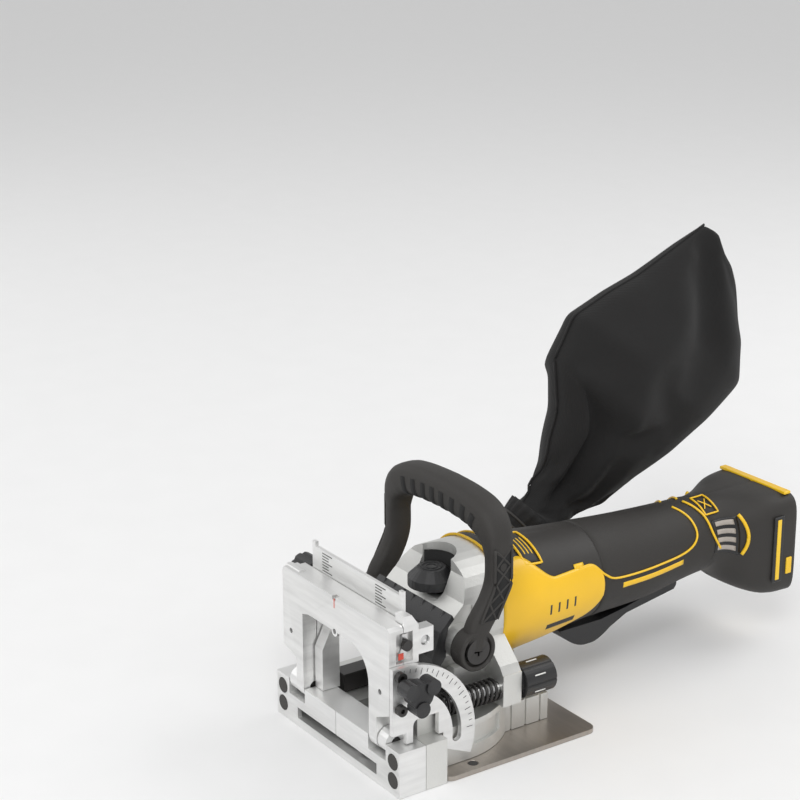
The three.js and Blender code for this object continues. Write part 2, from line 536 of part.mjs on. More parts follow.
function gearCase() {
  const neck = bodyLoft(76, HOUSING_FRONT - GAP, 0.6, 40);
  const head = join(
    bar("z", 20, 24.3, 40, 60, [0, SPINDLE_Y], 36),
    bar("z", 24.3, 24.3, 60, 81.5, [0, SPINDLE_Y], 36),
    bar("z", 17, 20, CASTING.top + 1.5, 40, [0, SPINDLE_Y], 36),
    bar("z", 10.5, 10.5, CASTING.channel + 1, CASTING.top + 3, [0, SPINDLE_Y], 24),
  );
  const sideProfile = [[47, 51], [47, 64], [54, 81], [70, 96], [78, 114], [84, 114], [84, 51]];
  const shoulders = slab("x", sideProfile, -37, 37).intersect(bodyLoft(46, 85, 0.6, 40));
  const feet = boxes(22, 38.6, 62, 108, CASTING.top + 1, 56);
  const ear = box(EAR.x0, EAR.x1, EAR.y0, EAR.y1, EAR.z0, EAR.z1);
  const web = slab("y", [[36, 40], [EAR.x1, EAR.z1 - 1], [EAR.x1 - 4, 56], [36, 72]], EAR.y0, EAR.y1);
  const bosses = [[36, 46.6], [-46.6, -36]].map(([a, b]) => bar("x", 11, 11, a, b, [HANDLE.y, HANDLE.z], 28));
  const whole = join(neck, head, shoulders, ...feet, ear, web, ...bosses);
  const gearRoom = bar("z", 22, 22, 61.5, 79, [0, SPINDLE_Y], 40);
  const shaftWay = bar("y", 9, 9, SPINDLE_Y, 101, [0, AXIS_Z], 28);
  const bearingSeat = bar("y", 11.3, 11.3, 100, HOUSING_FRONT, [0, AXIS_Z], 28);
  const spindleWay = bar("z", 6.4, 6.4, CASTING.channel, 62, [0, SPINDLE_Y], 24);
  const lowerSeat = bar("z", 13.3, 13.3, 50, 62, [0, SPINDLE_Y], 28);
  const railWays = boxes(RAIL.x - 6.3, RAIL.x + 6.3, 60, 110, CASTING.channel, RAIL.z + 6.3);
  const lock = join(
    bar("z", LOCK_R + 0.7, LOCK_R + 0.7, 92.4, 130, LOCK_BUTTON, 28),
    bar("z", 4.3, 4.3, 80, 93, LOCK_BUTTON, 16),
  );
  const screwHoles = bar("x", 3, 3, -48, 48, [HANDLE.y, HANDLE.z], 14);
  const middle = box(-33, 33, 40, 120, 60, 70);
  const rodHole = bar("y", ROD.r + GAP, ROD.r + GAP, 80, 104, [ROD.x, ROD.z]);
  const tappedDeep = cut(screwHoles, middle, box(-33, 33, 40, 120, 70, 80));
  const bores = [gearRoom, shaftWay, bearingSeat, spindleWay, lowerSeat, rodHole];
  return cut(whole, ...bores, ...railWays, lock, tappedDeep);
}

function gearCaseShield() {
  const outer = [
    [46.6, 60], [45, 60], [44.6, 67], [50.6, 82.8], [59.6, 92.2], [61, 89.4], [53.2, 81.6], [46.6, 64.2],
  ];
  const roof = slab("x", outer, -39.5, 39.5);
  const skirts = [[37.3, 39.5], [-39.5, -37.3]].map(([a, b]) =>
    slab("x", [[45.4, 60], [45, 66], [51, 82], [58, 90], [55, 78], [55, 66], [50, 60]], a, b),
  );
  const head = bar("z", 24.8, 24.8, 50, 82, [0, SPINDLE_Y], 36);
  const bosses = bar("x", 11.4, 11.4, -50, 50, [HANDLE.y, HANDLE.z], 28);
  return cut(join(roof, ...skirts), head, bosses);
}

function spindleLockButton() {
  const rim = bar("z", LOCK_R, LOCK_R, 96.4, 102, LOCK_BUTTON, 28);
  const crown = bar("z", LOCK_R, 9, 102, 108, LOCK_BUTTON, 28);
  return join(rim, crown, bar("z", 4, 4, 90, 97, LOCK_BUTTON, 16));
}

function bailHandle() {
  const { half, leg, y, z, top, grip } = HANDLE;
  const front = new THREE.Shape();
  const inner = half - leg;
  front.moveTo(half, z - 14).lineTo(half, 140).bezierCurveTo(half, top - 10, 36, top - 2, 0, top);
  front.bezierCurveTo(-36, top - 2, -half, top - 10, -half, 140).lineTo(-half, z - 14).lineTo(-inner, z - 14);
  front.lineTo(-inner, 132).bezierCurveTo(-inner + 2, 141, -30, top - grip - 1, 0, top - grip);
  front.bezierCurveTo(30, top - grip - 1, inner - 2, 141, inner, 132).lineTo(inner, z - 14);
  const sheet = slab("y", front, 40, 110, { curveSegments: 7 });
  const side = new THREE.Shape();
  side.moveTo(y - 13, z).lineTo(60.5, 91).quadraticCurveTo(71.5, 101, 72, 112).lineTo(71, 148);
  side.quadraticCurveTo(71, 169, 82, 169).quadraticCurveTo(95, 167, 95.3, 150).lineTo(95.3, 106);
  side.quadraticCurveTo(95, 97, 84.5, 92).lineTo(y + 13, z).absarc(y, z, 13, 0, -Math.PI, true);
  const profile = slab("x", side, -70, 70, { curveSegments: 6 });
  const screwHoles = bar("x", 3.3, 3.3, -70, 70, [y, z], 20);
  const seats = [[half - 4, 70], [-70, -half + 4]].map(([a, b]) => bar("x", 8.8, 8.8, a, b, [y, z], 28));
  return cut(sheet.intersect(profile), screwHoles, ...seats);
}

function bailScrew(s) {
  const [x0, x1] = [HANDLE.half - 3.6, HANDLE.half - 0.2];
  const at = [HANDLE.y, HANDLE.z];
  const [h0, h1] = [x0 * s, x1 * s].sort((a, b) => a - b);
  const [s0, s1] = [35 * s, (x0 + 1) * s].sort((a, b) => a - b);
  const upright = box(-2, 2, at[0] - 0.7, at[0] + 0.7, at[1] - 3, at[1] + 3);
  const level = box(-2, 2, at[0] - 3, at[0] + 3, at[1] - 0.7, at[1] + 0.7);
  const cuts = [upright, level].map((c) => c.translate([s * x1, 0, 0]));
  return cut(join(bar("x", 8.3, 8.3, h0, h1, at, 28), bar("x", 2.6, 2.6, s0, s1, at, 14)), ...cuts);
}

const PADDLE_SLOT = { half: 14.6, y0: 160, y1: 270 };
const SLEEVE = { y0: 186, y1: 290, t: 1.6 };

function housingBody() {
  const outer = bodyLoft(HOUSING_FRONT, HOUSING_REAR, 0);
  const inner = bodyLoft(HOUSING_FRONT - 1, HOUSING_REAR + 1, -WALL - SLEEVE.t);
  const around = bodyLoft(SLEEVE.y0 - GAP, SLEEVE.y1 + GAP, 4);
  const sleeveBed = cut(around, bodyLoft(SLEEVE.y0 - 1, SLEEVE.y1 + 1, -SLEEVE.t - GAP));
  const paddle = box(-PADDLE_SLOT.half, PADDLE_SLOT.half, PADDLE_SLOT.y0, PADDLE_SLOT.y1, 20, 60);
  const vents = [86, 80, 74, 68].map((z) => box(-60, 60, 297, 310, z, z + 3));
  return cut(outer, inner, sleeveBed, paddle, ...vents);
}

const halfSpace = (s) => (s > 0 ? box(0.15, 90, 0, 400, 0, 200) : box(-90, -0.15, 0, 400, 0, 200));

function gripBody() {
  const sleeve = cut(bodyLoft(SLEEVE.y0, SLEEVE.y1, 0), bodyLoft(SLEEVE.y0 - 1, SLEEVE.y1 + 1, -SLEEVE.t));
  return cut(sleeve, box(-PADDLE_SLOT.half, PADDLE_SLOT.half, PADDLE_SLOT.y0, PADDLE_SLOT.y1, 20, 60));
}

function batteryReceiver() {
  const plate = bodyLoft(334, HOUSING_REAR - 0.5, -WALL - SLEEVE.t - 0.4);
  const bay = box(-27, 27, 341, 360, 40, 99);
  const rails = boxes(22.5, 27.5, 345, 348, 42, 96);
  const seat = box(-14.3, 14.3, 330, 345, 55, 86);
  return cut(join(cut(plate, bay), ...rails), seat);
}

function terminalBlock() {
  const base = box(-14, 14, 336, 343, 55.3, 85.7);
  const blades = [-9, -3, 3, 9].map((x) => box(x - 0.5, x + 0.5, 342, 350, 58, 83));
  return join(base, ...blades);
}

const controlModule = () => box(-15, 15, 296, 328, 62, 92);

function stator() {
  const core = ring("y", 24, 16.3, 138, 172, [0, AXIS_Z], 36);
  const slots = [];
  for (let i = 0; i < 6; i++) {
    const a = ((i + 0.5) * Math.PI) / 3;
    slots.push(bar("y", 2.6, 2.6, 136, 174, [17 * Math.cos(a), AXIS_Z + 17 * Math.sin(a)], 10));
  }
  return cut(core, ...slots);
}

function motorEndFrame() {
  const disc = ring("y", 26.4, 8.3, 181, 187, [0, AXIS_Z], 32);
  const vents = [0, 1, 2, 3].map((i) => {
    const a = (i + 0.5) * (Math.PI / 2);
    return bar("y", 5.5, 5.5, 180, 188, [17 * Math.cos(a), AXIS_Z + 17 * Math.sin(a)], 14);
  });
  return cut(disc, ...vents);
}

// ---------------------------------------------------------------- rotating parts
function rotor() {
  return join(
    bar("y", 3.5, 3.5, 70.4, 187, [0, AXIS_Z], 20),
    bar("y", 15.7, 15.7, 138, 172, [0, AXIS_Z], 28),
    bar("y", 5, 5, 113, 137, [0, AXIS_Z], 20),
  );
}

function coolingFan() {
  const disc = ring("y", 24, 5 + GAP, 123, 125, [0, AXIS_Z], 32);
  const hub = ring("y", 9, 5 + GAP, 124.5, 133, [0, AXIS_Z], 20);
  const vanes = [];
  for (let i = 0; i < 9; i++) {
    const vane = box(8, 23, 124.5, 132, -0.6, 0.6);
    vanes.push(vane.rotate([0, (i * 360) / 9, 0]).translate([0, 0, AXIS_Z]));
  }
  return join(disc, hub, ...vanes);
}

function bevelPinion() {
  const hub = bar("y", 3.9, 4.4, 70.4, 75, [0, AXIS_Z], 20);
  const collar = bar("y", 6, 6, 75, 80, [0, AXIS_Z], 20);
  const teeth = [];
  for (let i = 0; i < BEVEL_TEETH; i++) {
    const tooth = box(-0.65, 0.65, 70.4, 75, -5.6, -1);
    teeth.push(tooth.rotate([0, (i * 360) / BEVEL_TEETH, 0]).translate([0, 0, AXIS_Z]));
  }
  return cut(join(hub, collar, ...teeth), bar("y", 3.5 + GAP, 3.5 + GAP, 60, 90, [0, AXIS_Z], 20));
}

// Face gear: a tooth gap lies towards the pinion, so both gears start in mesh.
function crownGear() {
  const disc = bar("z", 21.3, 21.3, 64, CROWN.z - 1.4, [0, SPINDLE_Y], 36);
  const teeth = [];
  for (let i = 0; i < CROWN.teeth; i++) {
    const tooth = slab("y", [[-0.8, 0], [0.8, 0], [0.6, 1.5], [-0.6, 1.5]], 16.8, 21.2);
    const turned = tooth.translate([0, 0, CROWN.z - 1.5]).rotate([0, 0, ((i + 0.5) * 360) / CROWN.teeth]);
    teeth.push(turned.translate([0, SPINDLE_Y, 0]));
  }
  return cut(join(disc, ...teeth), bar("z", 6 + GAP, 6 + GAP, 60, 90, [0, SPINDLE_Y], 24));
}

function spindle() {
  const at = [0, SPINDLE_Y];
  return join(
    bar("z", 6, 6, BLADE.z + 2, 77, at, 24),
    bar("z", 14, 14, BLADE.z + 1.7, CHAMBER.high - 0.8, at, 32),
    bar("z", 10.7, 10.7, BLADE.z - 1.5, BLADE.z + 2, at, 32),
    bar("z", 4.5, 4.5, 4.2, BLADE.z, at, 20),
  );
}

function blade() {
  const [low, high] = [BLADE.z - BLADE.body / 2, BLADE.z + BLADE.body / 2];
  const body = ring("z", BLADE.r - 5, 11, low, high, [0, SPINDLE_Y], 48);
  const teeth = [];
  for (let i = 0; i < BLADE.teeth; i++) {
    const arm = slab("z", sector(0, 0, BLADE.r - 7, BLADE.r - 0.8, -9, 13), low, high);
    const tip = box(BLADE.r - 6, BLADE.r - 0.3, -8, -4, BLADE.z - BLADE.kerf / 2, BLADE.z + BLADE.kerf / 2);
    teeth.push(join(arm, tip).rotate([0, 0, (i * 360) / BLADE.teeth]).translate([0, SPINDLE_Y, 0]));
  }
  return join(body, ...teeth);
}

function bladeNut() {
  const nut = ring("z", 14, 4.5 + GAP, 4, BLADE.z - BLADE.body / 2 - GAP, [0, SPINDLE_Y], 32);
  const holes = [1, -1].map((s) => bar("z", 1.6, 1.6, 3, 6, [s * 10, SPINDLE_Y], 10));
  return cut(nut, ...holes);
}

// ---------------------------------------------------------------- controls
function depthKnob() {
  const at = [ROD.x, ROD.z];
  const shell = fluted("y", 11, EAR.y1 + 2, EAR.y1 + 25, at, 6, 0.6);
  const flange = bar("y", 8, 8, EAR.y1 + GAP, EAR.y1 + 3, at);
  const bore = bar("y", 5.6, 5.6, EAR.y1 - 1, EAR.y1 + 20, at, 20);
  const steps = [0, 1, 2].map((i) => {
    const step = [at[0] + 3 * Math.cos(i * 2.1), at[1] + 3 * Math.sin(i * 2.1)];
    return bar("y", 1.6, 1.6, EAR.y1 + 18.6, EAR.y1 + 21, step, 8);
  });
  return join(cut(join(shell, flange), bore), ...steps);
}

function paddleSwitch() {
  const side = new THREE.Shape();
  side.moveTo(165, 44).lineTo(168, 39).quadraticCurveTo(178, 30, 186, 29.3).lineTo(193, 29.3);
  side.quadraticCurveTo(199, 30, 208, 36.5).lineTo(222, 43).lineTo(264, 50).lineTo(266, 55).lineTo(258, 56);
  side.lineTo(222, 47.5).lineTo(200, 44);
  const body = slab("x", side, -13.6, 13.6, { curveSegments: 6 });
  const pivot = bar("x", 4, 4, -13.6, 13.6, [262, 54], 16);
  const slot = box(-4.8, 4.8, 192, 219, 20, 60);
  return cut(join(body, pivot), slot);
}

function lockOffLever() {
  const hub = bar("x", 2.6, 2.6, -4.4, 4.4, [214.5, 42.5], 16);
  const arm = slab("x", [[196, 33], [200, 33.4], [214.5, 40], [214.5, 45], [205, 43], [196, 38]], -4.4, 4.4);
  return join(hub, arm);
}

// ---------------------------------------------------------------- assembly
place("sole_plate", solePlate(), STEEL);
bothSides((side, s) => place("sole_screw_" + side, soleScrew(s), DARK_STEEL));
place("nose_block", noseBlock(), CAST);
padPlaces().forEach((at, i) => place("grip_pad_" + (i + 1), bar("y", 5, 5, -0.2, 2.2, at, 20), BLACK));
place("blade_housing", bladeHousing(), CAST);
bothSides((side, s) => place("guide_rail_" + side, guideRail(s), DARK_STEEL));
place("spring_rod", springRod(), BRIGHT_STEEL);
place("return_spring", returnSpring(), DARK_STEEL);
place("guide_frame", guideFrame(), CAST);
place("dust_outlet", dustOutlet(), BLACK);
place("dust_collar", dustCollar(), BLACK);
place("dust_bag", dustBag(), FABRIC);

place("height_carrier", heightCarrier(), CAST);
bothSides((side, s) => place("pivot_pin_" + side, pivotPin(s), DARK_STEEL));
place("tilt_stud", tiltStud(), BRIGHT_STEEL);
place("angle_pointer", anglePointer(), RED);
place("pointer_screw", pointerScrew(), DARK_STEEL);
place("pinion_shaft", pinionShaft(), BRIGHT_STEEL);
place("height_knob", heightKnob(), BLACK);
place("height_lock_lever", heightLockLever(), BLACK);
place("fence_arch", fenceArch(), CAST);
place("tilt_quadrant", tiltQuadrant(), CAST);
quadrantScrewPlaces().forEach((p, i) => place("quadrant_screw_" + (i + 1), quadrantScrew(p), DARK_STEEL));
place("tilt_knob", tiltKnob(), BLACK);

place("gear_case", gearCase(), CAST);
place("gear_case_shield", gearCaseShield(), BLACK);
place("spindle_lock_button", spindleLockButton(), BLACK);
place("bail_handle", bailHandle(), RUBBER);
bothSides((side, s) => place("bail_screw_" + side, bailScrew(s), DARK_STEEL));
bothSides((side, s) => place("housing_" + side, housingBody().intersect(halfSpace(s)), YELLOW));
bothSides((side, s) => place("grip_cover_" + side, gripBody().intersect(halfSpace(s)), RUBBER));
place("battery_receiver", batteryReceiver(), BLACK);
place("terminal_block", terminalBlock(), COPPER);
place("control_module", controlModule(), BLACK);
place("stator", stator(), COPPER);
place("motor_end_frame", motorEndFrame(), BLACK);
place("bearing_front", ring("y", 11, 3.8, 101, 111, [0, AXIS_Z]), BRIGHT_STEEL);
place("bearing_rear", ring("y", 8, 3.8, 181.3, 186.7, [0, AXIS_Z]), BRIGHT_STEEL);
place("spindle_bearing", ring("z", 13, 6.3, 50.5, 61, [0, SPINDLE_Y]), BRIGHT_STEEL);

place("rotor", rotor(), DARK_STEEL);
place("cooling_fan", coolingFan(), BLACK);
place("bevel_pinion", bevelPinion(), BRIGHT_STEEL);
place("spindle", spindle(), BRIGHT_STEEL);
place("crown_gear", crownGear(), BRIGHT_STEEL);
place("blade", blade(), STEEL);
place("blade_nut", bladeNut(), DARK_STEEL);
place("depth_knob", depthKnob(), BLACK);
place("paddle_switch", paddleSwitch(), BLACK);
place("lock_off_lever", lockOffLever(), YELLOW);

const object = new THREE.Group();
object.add(frame);
export default object;
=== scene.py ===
"""Cordless biscuit joiner: materials, moulded parts, markings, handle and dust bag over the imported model."""
import json
import math

import bmesh
import bpy
from mathutils import Matrix, Vector, noise


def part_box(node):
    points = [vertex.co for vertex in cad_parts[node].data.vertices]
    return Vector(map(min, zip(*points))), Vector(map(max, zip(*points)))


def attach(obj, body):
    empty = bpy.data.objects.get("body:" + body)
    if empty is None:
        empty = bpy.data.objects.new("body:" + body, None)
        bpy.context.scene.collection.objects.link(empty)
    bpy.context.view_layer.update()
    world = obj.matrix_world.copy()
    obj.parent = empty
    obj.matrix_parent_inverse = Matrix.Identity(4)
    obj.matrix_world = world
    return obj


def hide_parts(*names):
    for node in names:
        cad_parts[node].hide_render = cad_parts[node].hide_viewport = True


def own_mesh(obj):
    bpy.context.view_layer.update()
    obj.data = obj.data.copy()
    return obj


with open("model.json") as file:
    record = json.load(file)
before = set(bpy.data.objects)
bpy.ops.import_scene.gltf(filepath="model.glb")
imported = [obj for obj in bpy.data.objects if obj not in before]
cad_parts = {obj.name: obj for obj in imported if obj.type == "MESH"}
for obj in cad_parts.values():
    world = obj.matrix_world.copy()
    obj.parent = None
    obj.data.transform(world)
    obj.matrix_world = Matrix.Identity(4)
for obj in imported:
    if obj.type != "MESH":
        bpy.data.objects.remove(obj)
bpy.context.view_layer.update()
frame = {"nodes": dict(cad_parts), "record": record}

MM = 0.001
SEED = 7
RIGHT, REAR, UP = Vector((1, 0, 0)), Vector((0, 1, 0)), Vector((0, 0, 1))
SIDES = (("right", 1), ("left", -1))


def lo(node):
    return Vector(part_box(node)[0]) / MM


def hi(node):
    return Vector(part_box(node)[1]) / MM


def middle(node):
    return (lo(node) + hi(node)) / 2


# ---------------------------------------------------------------- places taken from the frame, in mm
FRONT = lo("nose_block").y  # front face of the shoe
BODY_FRONT = lo("housing_right").y
BODY_REAR = hi("housing_right").y
GRIP_FRONT = lo("grip_cover_right").y
GRIP_REAR = hi("grip_cover_right").y
PANEL_FRONT = BODY_FRONT - 13  # the yellow sides reach forward over the gear case
PIVOT = Vector((0, middle("bail_screw_right").y, middle("bail_screw_right").z))
BAIL_HALF = hi("bail_handle").x
BAIL_TOP = hi("bail_handle").z

# Outline of the housing behind the gear case: distance behind the spindle, half width, height of its
# centre, half height, squareness.
STATIONS = [
    (47, 38.5, 80, 38.5, 2.3),
    (72, 37.5, 80.5, 36.5, 2.2),
    (97, 35.5, 79.2, 34.5, 2.1),
    (137, 32, 78.5, 32, 2.0),
    (179, 30, 77.5, 30, 2.0),
    (237, 25.6, 80, 26, 2.0),
    (249, 27, 78.5, 28, 2.2),
    (263, 33, 73, 33.5, 3.0),
    (279, 37.4, 70, 36.8, 5.0),
    (300, 38.2, 70, 37, 7.0),
]


def section(y):
    """Smooth outline of the housing at a distance y behind the spindle."""
    s = STATIONS
    i = max(0, min(len(s) - 2, sum(1 for row in s if row[0] <= y) - 1))
    a, b = s[i], s[i + 1]
    before, after = s[max(0, i - 1)], s[min(len(s) - 1, i + 2)]
    t = max(0.0, min(1.0, (y - a[0]) / (b[0] - a[0])))
    span = b[0] - a[0]
    out = []
    for k in range(1, 5):
        slope_a = (b[k] - before[k]) / (b[0] - before[0]) * span
        slope_b = (after[k] - a[k]) / (after[0] - a[0]) * span
        h = (2 * t**3 - 3 * t**2 + 1) * a[k] + (t**3 - 2 * t**2 + t) * slope_a
        out.append(h + (3 * t**2 - 2 * t**3) * b[k] + (t**3 - t**2) * slope_b)
    return out


def skin(y, angle, off=0.0):
    """A point on the housing, off mm above it; angle in degrees from +X up towards +Z."""
    half, zc, high, n = section(y)
    c, s = math.cos(math.radians(angle)), math.sin(math.radians(angle))
    k = (abs(c) ** n + abs(s) ** n) ** (-1 / n)
    return Vector((c * k * (half + off), y, zc + s * k * (high + off)))


# ---------------------------------------------------------------- materials
def material(
    name, color, rough, metal=0.0, bump=0.2, scale=900.0, wear=0.06, coat=0.0, sheen=0.0, stretch=(1, 1, 1)
):
    """Principled material with fine bump, slight colour drift, uneven gloss and paler edges."""
    m = bpy.data.materials.new(name)
    m.use_nodes = True
    nt = m.node_tree
    p = nt.nodes["Principled BSDF"]
    p.inputs["Metallic"].default_value = metal
    p.inputs["Coat Weight"].default_value = coat
    p.inputs["Sheen Weight"].default_value = sheen
    coords = nt.nodes.new("ShaderNodeTexCoord")
    mapping = nt.nodes.new("ShaderNodeMapping")
    mapping.inputs["Scale"].default_value = stretch
    nt.links.new(coords.outputs["Object"], mapping.inputs["Vector"])

    def grain(size, detail):
        n = nt.nodes.new("ShaderNodeTexNoise")
        n.inputs["Scale"].default_value = size
        n.inputs["Detail"].default_value = detail
        nt.links.new(mapping.outputs["Vector"], n.inputs["Vector"])
        return n

    fine, cloudy = grain(scale, 3), grain(28, 4)
    ramp = nt.nodes.new("ShaderNodeValToRGB")
    dark = [c * (1 - wear * 2) for c in color]
    light = [min(1, c * (1 + wear)) for c in color]
    ramp.color_ramp.elements[0].position = 0.3
    ramp.color_ramp.elements[0].color = (*dark, 1)
    ramp.color_ramp.elements[1].position = 0.7
    ramp.color_ramp.elements[1].color = (*light, 1)
    nt.links.new(cloudy.outputs["Fac"], ramp.inputs["Fac"])
    geometry = nt.nodes.new("ShaderNodeNewGeometry")
    edge = nt.nodes.new("ShaderNodeMapRange")
    edge.inputs["From Min"].default_value = 0.53
    edge.inputs["From Max"].default_value = 0.62
    edge.inputs["To Max"].default_value = 0.35
    nt.links.new(geometry.outputs["Pointiness"], edge.inputs["Value"])
    mix = nt.nodes.new("ShaderNodeMix")
    mix.data_type = "RGBA"
    nt.links.new(edge.outputs["Result"], mix.inputs["Factor"])
    nt.links.new(ramp.outputs["Color"], mix.inputs["A"])
    mix.inputs["B"].default_value = (*[min(1, c * 1.3 + 0.03) for c in color], 1)
    nt.links.new(mix.outputs["Result"], p.inputs["Base Color"])
    gloss = nt.nodes.new("ShaderNodeMapRange")
    gloss.inputs["To Min"].default_value = rough * 0.85
    gloss.inputs["To Max"].default_value = min(1, rough * 1.2)
    nt.links.new(cloudy.outputs["Fac"], gloss.inputs["Value"])
    nt.links.new(gloss.outputs["Result"], p.inputs["Roughness"])
    b = nt.nodes.new("ShaderNodeBump")
    b.inputs["Strength"].default_value = bump
    b.inputs["Distance"].default_value = 0.0004
    nt.links.new(fine.outputs["Fac"], b.inputs["Height"])
    nt.links.new(b.outputs["Normal"], p.inputs["Normal"])
    return m


def weave(name, color):
    """Woven cloth: two crossed waves for the threads over soft creases."""
    m = material(name, color, 0.9, bump=0.25, scale=420, wear=0.16, sheen=0.03)
    nt = m.node_tree
    coords = nt.nodes.new("ShaderNodeTexCoord")
    total = nt.nodes.new("ShaderNodeMath")
    for i, direction in enumerate(("Y", "Z")):
        w = nt.nodes.new("ShaderNodeTexWave")
        w.bands_direction = direction
        w.inputs["Scale"].default_value = 420
        nt.links.new(coords.outputs["Object"], w.inputs["Vector"])
        nt.links.new(w.outputs["Fac"], total.inputs[i])
    b = nt.nodes.new("ShaderNodeBump")
    b.inputs["Strength"].default_value = 0.3
    b.inputs["Distance"].default_value = 0.0003
    p = nt.nodes["Principled BSDF"]
    nt.links.new(total.outputs["Value"], b.inputs["Height"])
    nt.links.new(p.inputs["Normal"].links[0].from_socket, b.inputs["Normal"])
    nt.links.new(b.outputs["Normal"], p.inputs["Normal"])
    return m


CAST = material("cast_aluminium", (0.68, 0.68, 0.66), 0.46, 0.85, bump=0.25, scale=700, wear=0.05)
MACHINED = material(
    "machined_aluminium", (0.76, 0.76, 0.75), 0.38, 0.8, bump=0.12, scale=260, stretch=(1, 1, 9)
)
PLATE = material("sole_steel", (0.42, 0.38, 0.34), 0.36, 0.9, bump=0.1, scale=300, stretch=(1, 8, 1))
STEEL = material("bright_steel", (0.62, 0.62, 0.62), 0.25, 1.0, bump=0.08, scale=400)
DARK = material("black_steel", (0.045, 0.043, 0.042), 0.35, 0.7, bump=0.15)
HOUSING = material("charcoal_plastic", (0.027, 0.0245, 0.022), 0.56, bump=0.4, scale=1500)
BLACK = material("black_plastic", (0.011, 0.011, 0.012), 0.4, bump=0.35, scale=1400)
RUBBER = material("soft_grip", (0.027, 0.0245, 0.022), 0.62, bump=0.6, scale=1700)
YELLOW = material("yellow_plastic", (0.93, 0.55, 0.012), 0.36, bump=0.12, scale=1300, wear=0.03, coat=0.1)
RED = material("red_paint", (0.62, 0.07, 0.04), 0.45)
GREY = material("grey_vent", (0.42, 0.38, 0.34), 0.5)
INK = material("ink", (0.03, 0.03, 0.03), 0.6)
# Near-black painted shade, laid into recesses, slots and gaps where shade falls
PAINTED_SHADE = material("recess_shade_black", (0.003, 0.003, 0.003), 0.95, bump=0.1)
WHITE = material("white_mark", (0.75, 0.75, 0.73), 0.5)
COPPER = material("copper", (0.55, 0.26, 0.13), 0.35, 0.9)
CLOTH = weave("black_cloth", (0.008, 0.0075, 0.0075))

MATERIAL_OF_SLOT = {
    "cast": CAST, "steel": STEEL, "dark_steel": DARK, "black": BLACK, "rubber": RUBBER,
    "yellow": YELLOW, "red": RED, "copper": COPPER, "fabric": CLOTH,
}
MATERIAL_OF_NODE = {
    "nose_block": MACHINED, "guide_frame": MACHINED, "height_carrier": MACHINED, "fence_arch": MACHINED,
    "tilt_quadrant": MACHINED, "sole_plate": PLATE, "angle_pointer": STEEL,
}


def dress_cad_nodes():
    """Every carried-over node gets its material and a small rounded edge."""
    for part in frame["record"]["subparts"]:
        node = frame["nodes"][part["node"]]
        chosen = MATERIAL_OF_NODE.get(part["node"], MATERIAL_OF_SLOT[part["material_slot"]])
        node.data.materials.clear()
        node.data.materials.append(chosen)
        size = min(hi(part["node"]) - lo(part["node"]))
        bevel = node.modifiers.new("edge", "BEVEL")
        bevel.width = min(0.5, size * 0.08) * MM
        bevel.segments = 2
        if part["node"] == "gear_case":  # a casting, so its edges are rounder
            bevel.width, bevel.segments = 1.4 * MM, 3
        bevel.angle_limit = math.radians(38)
        bevel.use_clamp_overlap = True
        bevel.harden_normals = True


# ---------------------------------------------------------------- mesh helpers
def piece(name, verts, faces, mat, body, replaces=(), smooth=True, bevel=0.0):
    mesh = bpy.data.meshes.new(name)
    mesh.from_pydata([Vector(v) * MM for v in verts], [], faces)
    bm = bmesh.new()
    bm.from_mesh(mesh)
    bmesh.ops.remove_doubles(bm, verts=bm.verts, dist=1e-6)
    bmesh.ops.recalc_face_normals(bm, faces=bm.faces)
    bm.to_mesh(mesh)
    bm.free()
    for f in mesh.polygons:
        f.use_smooth = smooth
    mesh.materials.append(mat)
    obj = bpy.data.objects.new(name, mesh)
    bpy.context.scene.collection.objects.link(obj)
    if bevel:
        b = obj.modifiers.new("edge", "BEVEL")
        b.width = bevel * MM
        b.segments = 3
        b.angle_limit = math.radians(35)
    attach(obj, body)
    if replaces:
        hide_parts(*replaces)
    return obj


def loft(rings, closed_ends=True):
    """Vertices and faces of a tube through rings of equal length."""
    n = len(rings[0])
    verts = [p for ring in rings for p in ring]
    faces = []
    for i in range(len(rings) - 1):
        for j in range(n):
            a, b = i * n + j, i * n + (j + 1) % n
            faces.append((a, b, b + n, a + n))
    if closed_ends:
        faces.append(tuple(range(n))[::-1])
        faces.append(tuple((len(rings) - 1) * n + j for j in range(n)))
    return verts, faces


def bar(rows):
    """Vertices and faces of a solid bar with four long edges, each a row of points."""
    n = len(rows[0])
    verts = [p for row in rows for p in row]
    faces = []
    for r in range(4):
        for k in range(n - 1):
            a, b = r * n + k, (r + 1) % 4 * n + k
            faces.append((a, a + 1, b + 1, b))
    faces += [tuple(r * n for r in range(4)), tuple(r * n + n - 1 for r in range(4))]
    return verts, faces


def circle(centre, u, v, radius, count):
    """Points round a centre, in the plane of u and v."""
    turns = [2 * math.pi * k / count for k in range(count)]
    return [centre + (u * math.cos(t) + v * math.sin(t)) * radius for t in turns]


def spread(a, b, steps):
    """Evenly spaced values from a to b."""
    return [a + (b - a) * i / steps for i in range(steps + 1)]


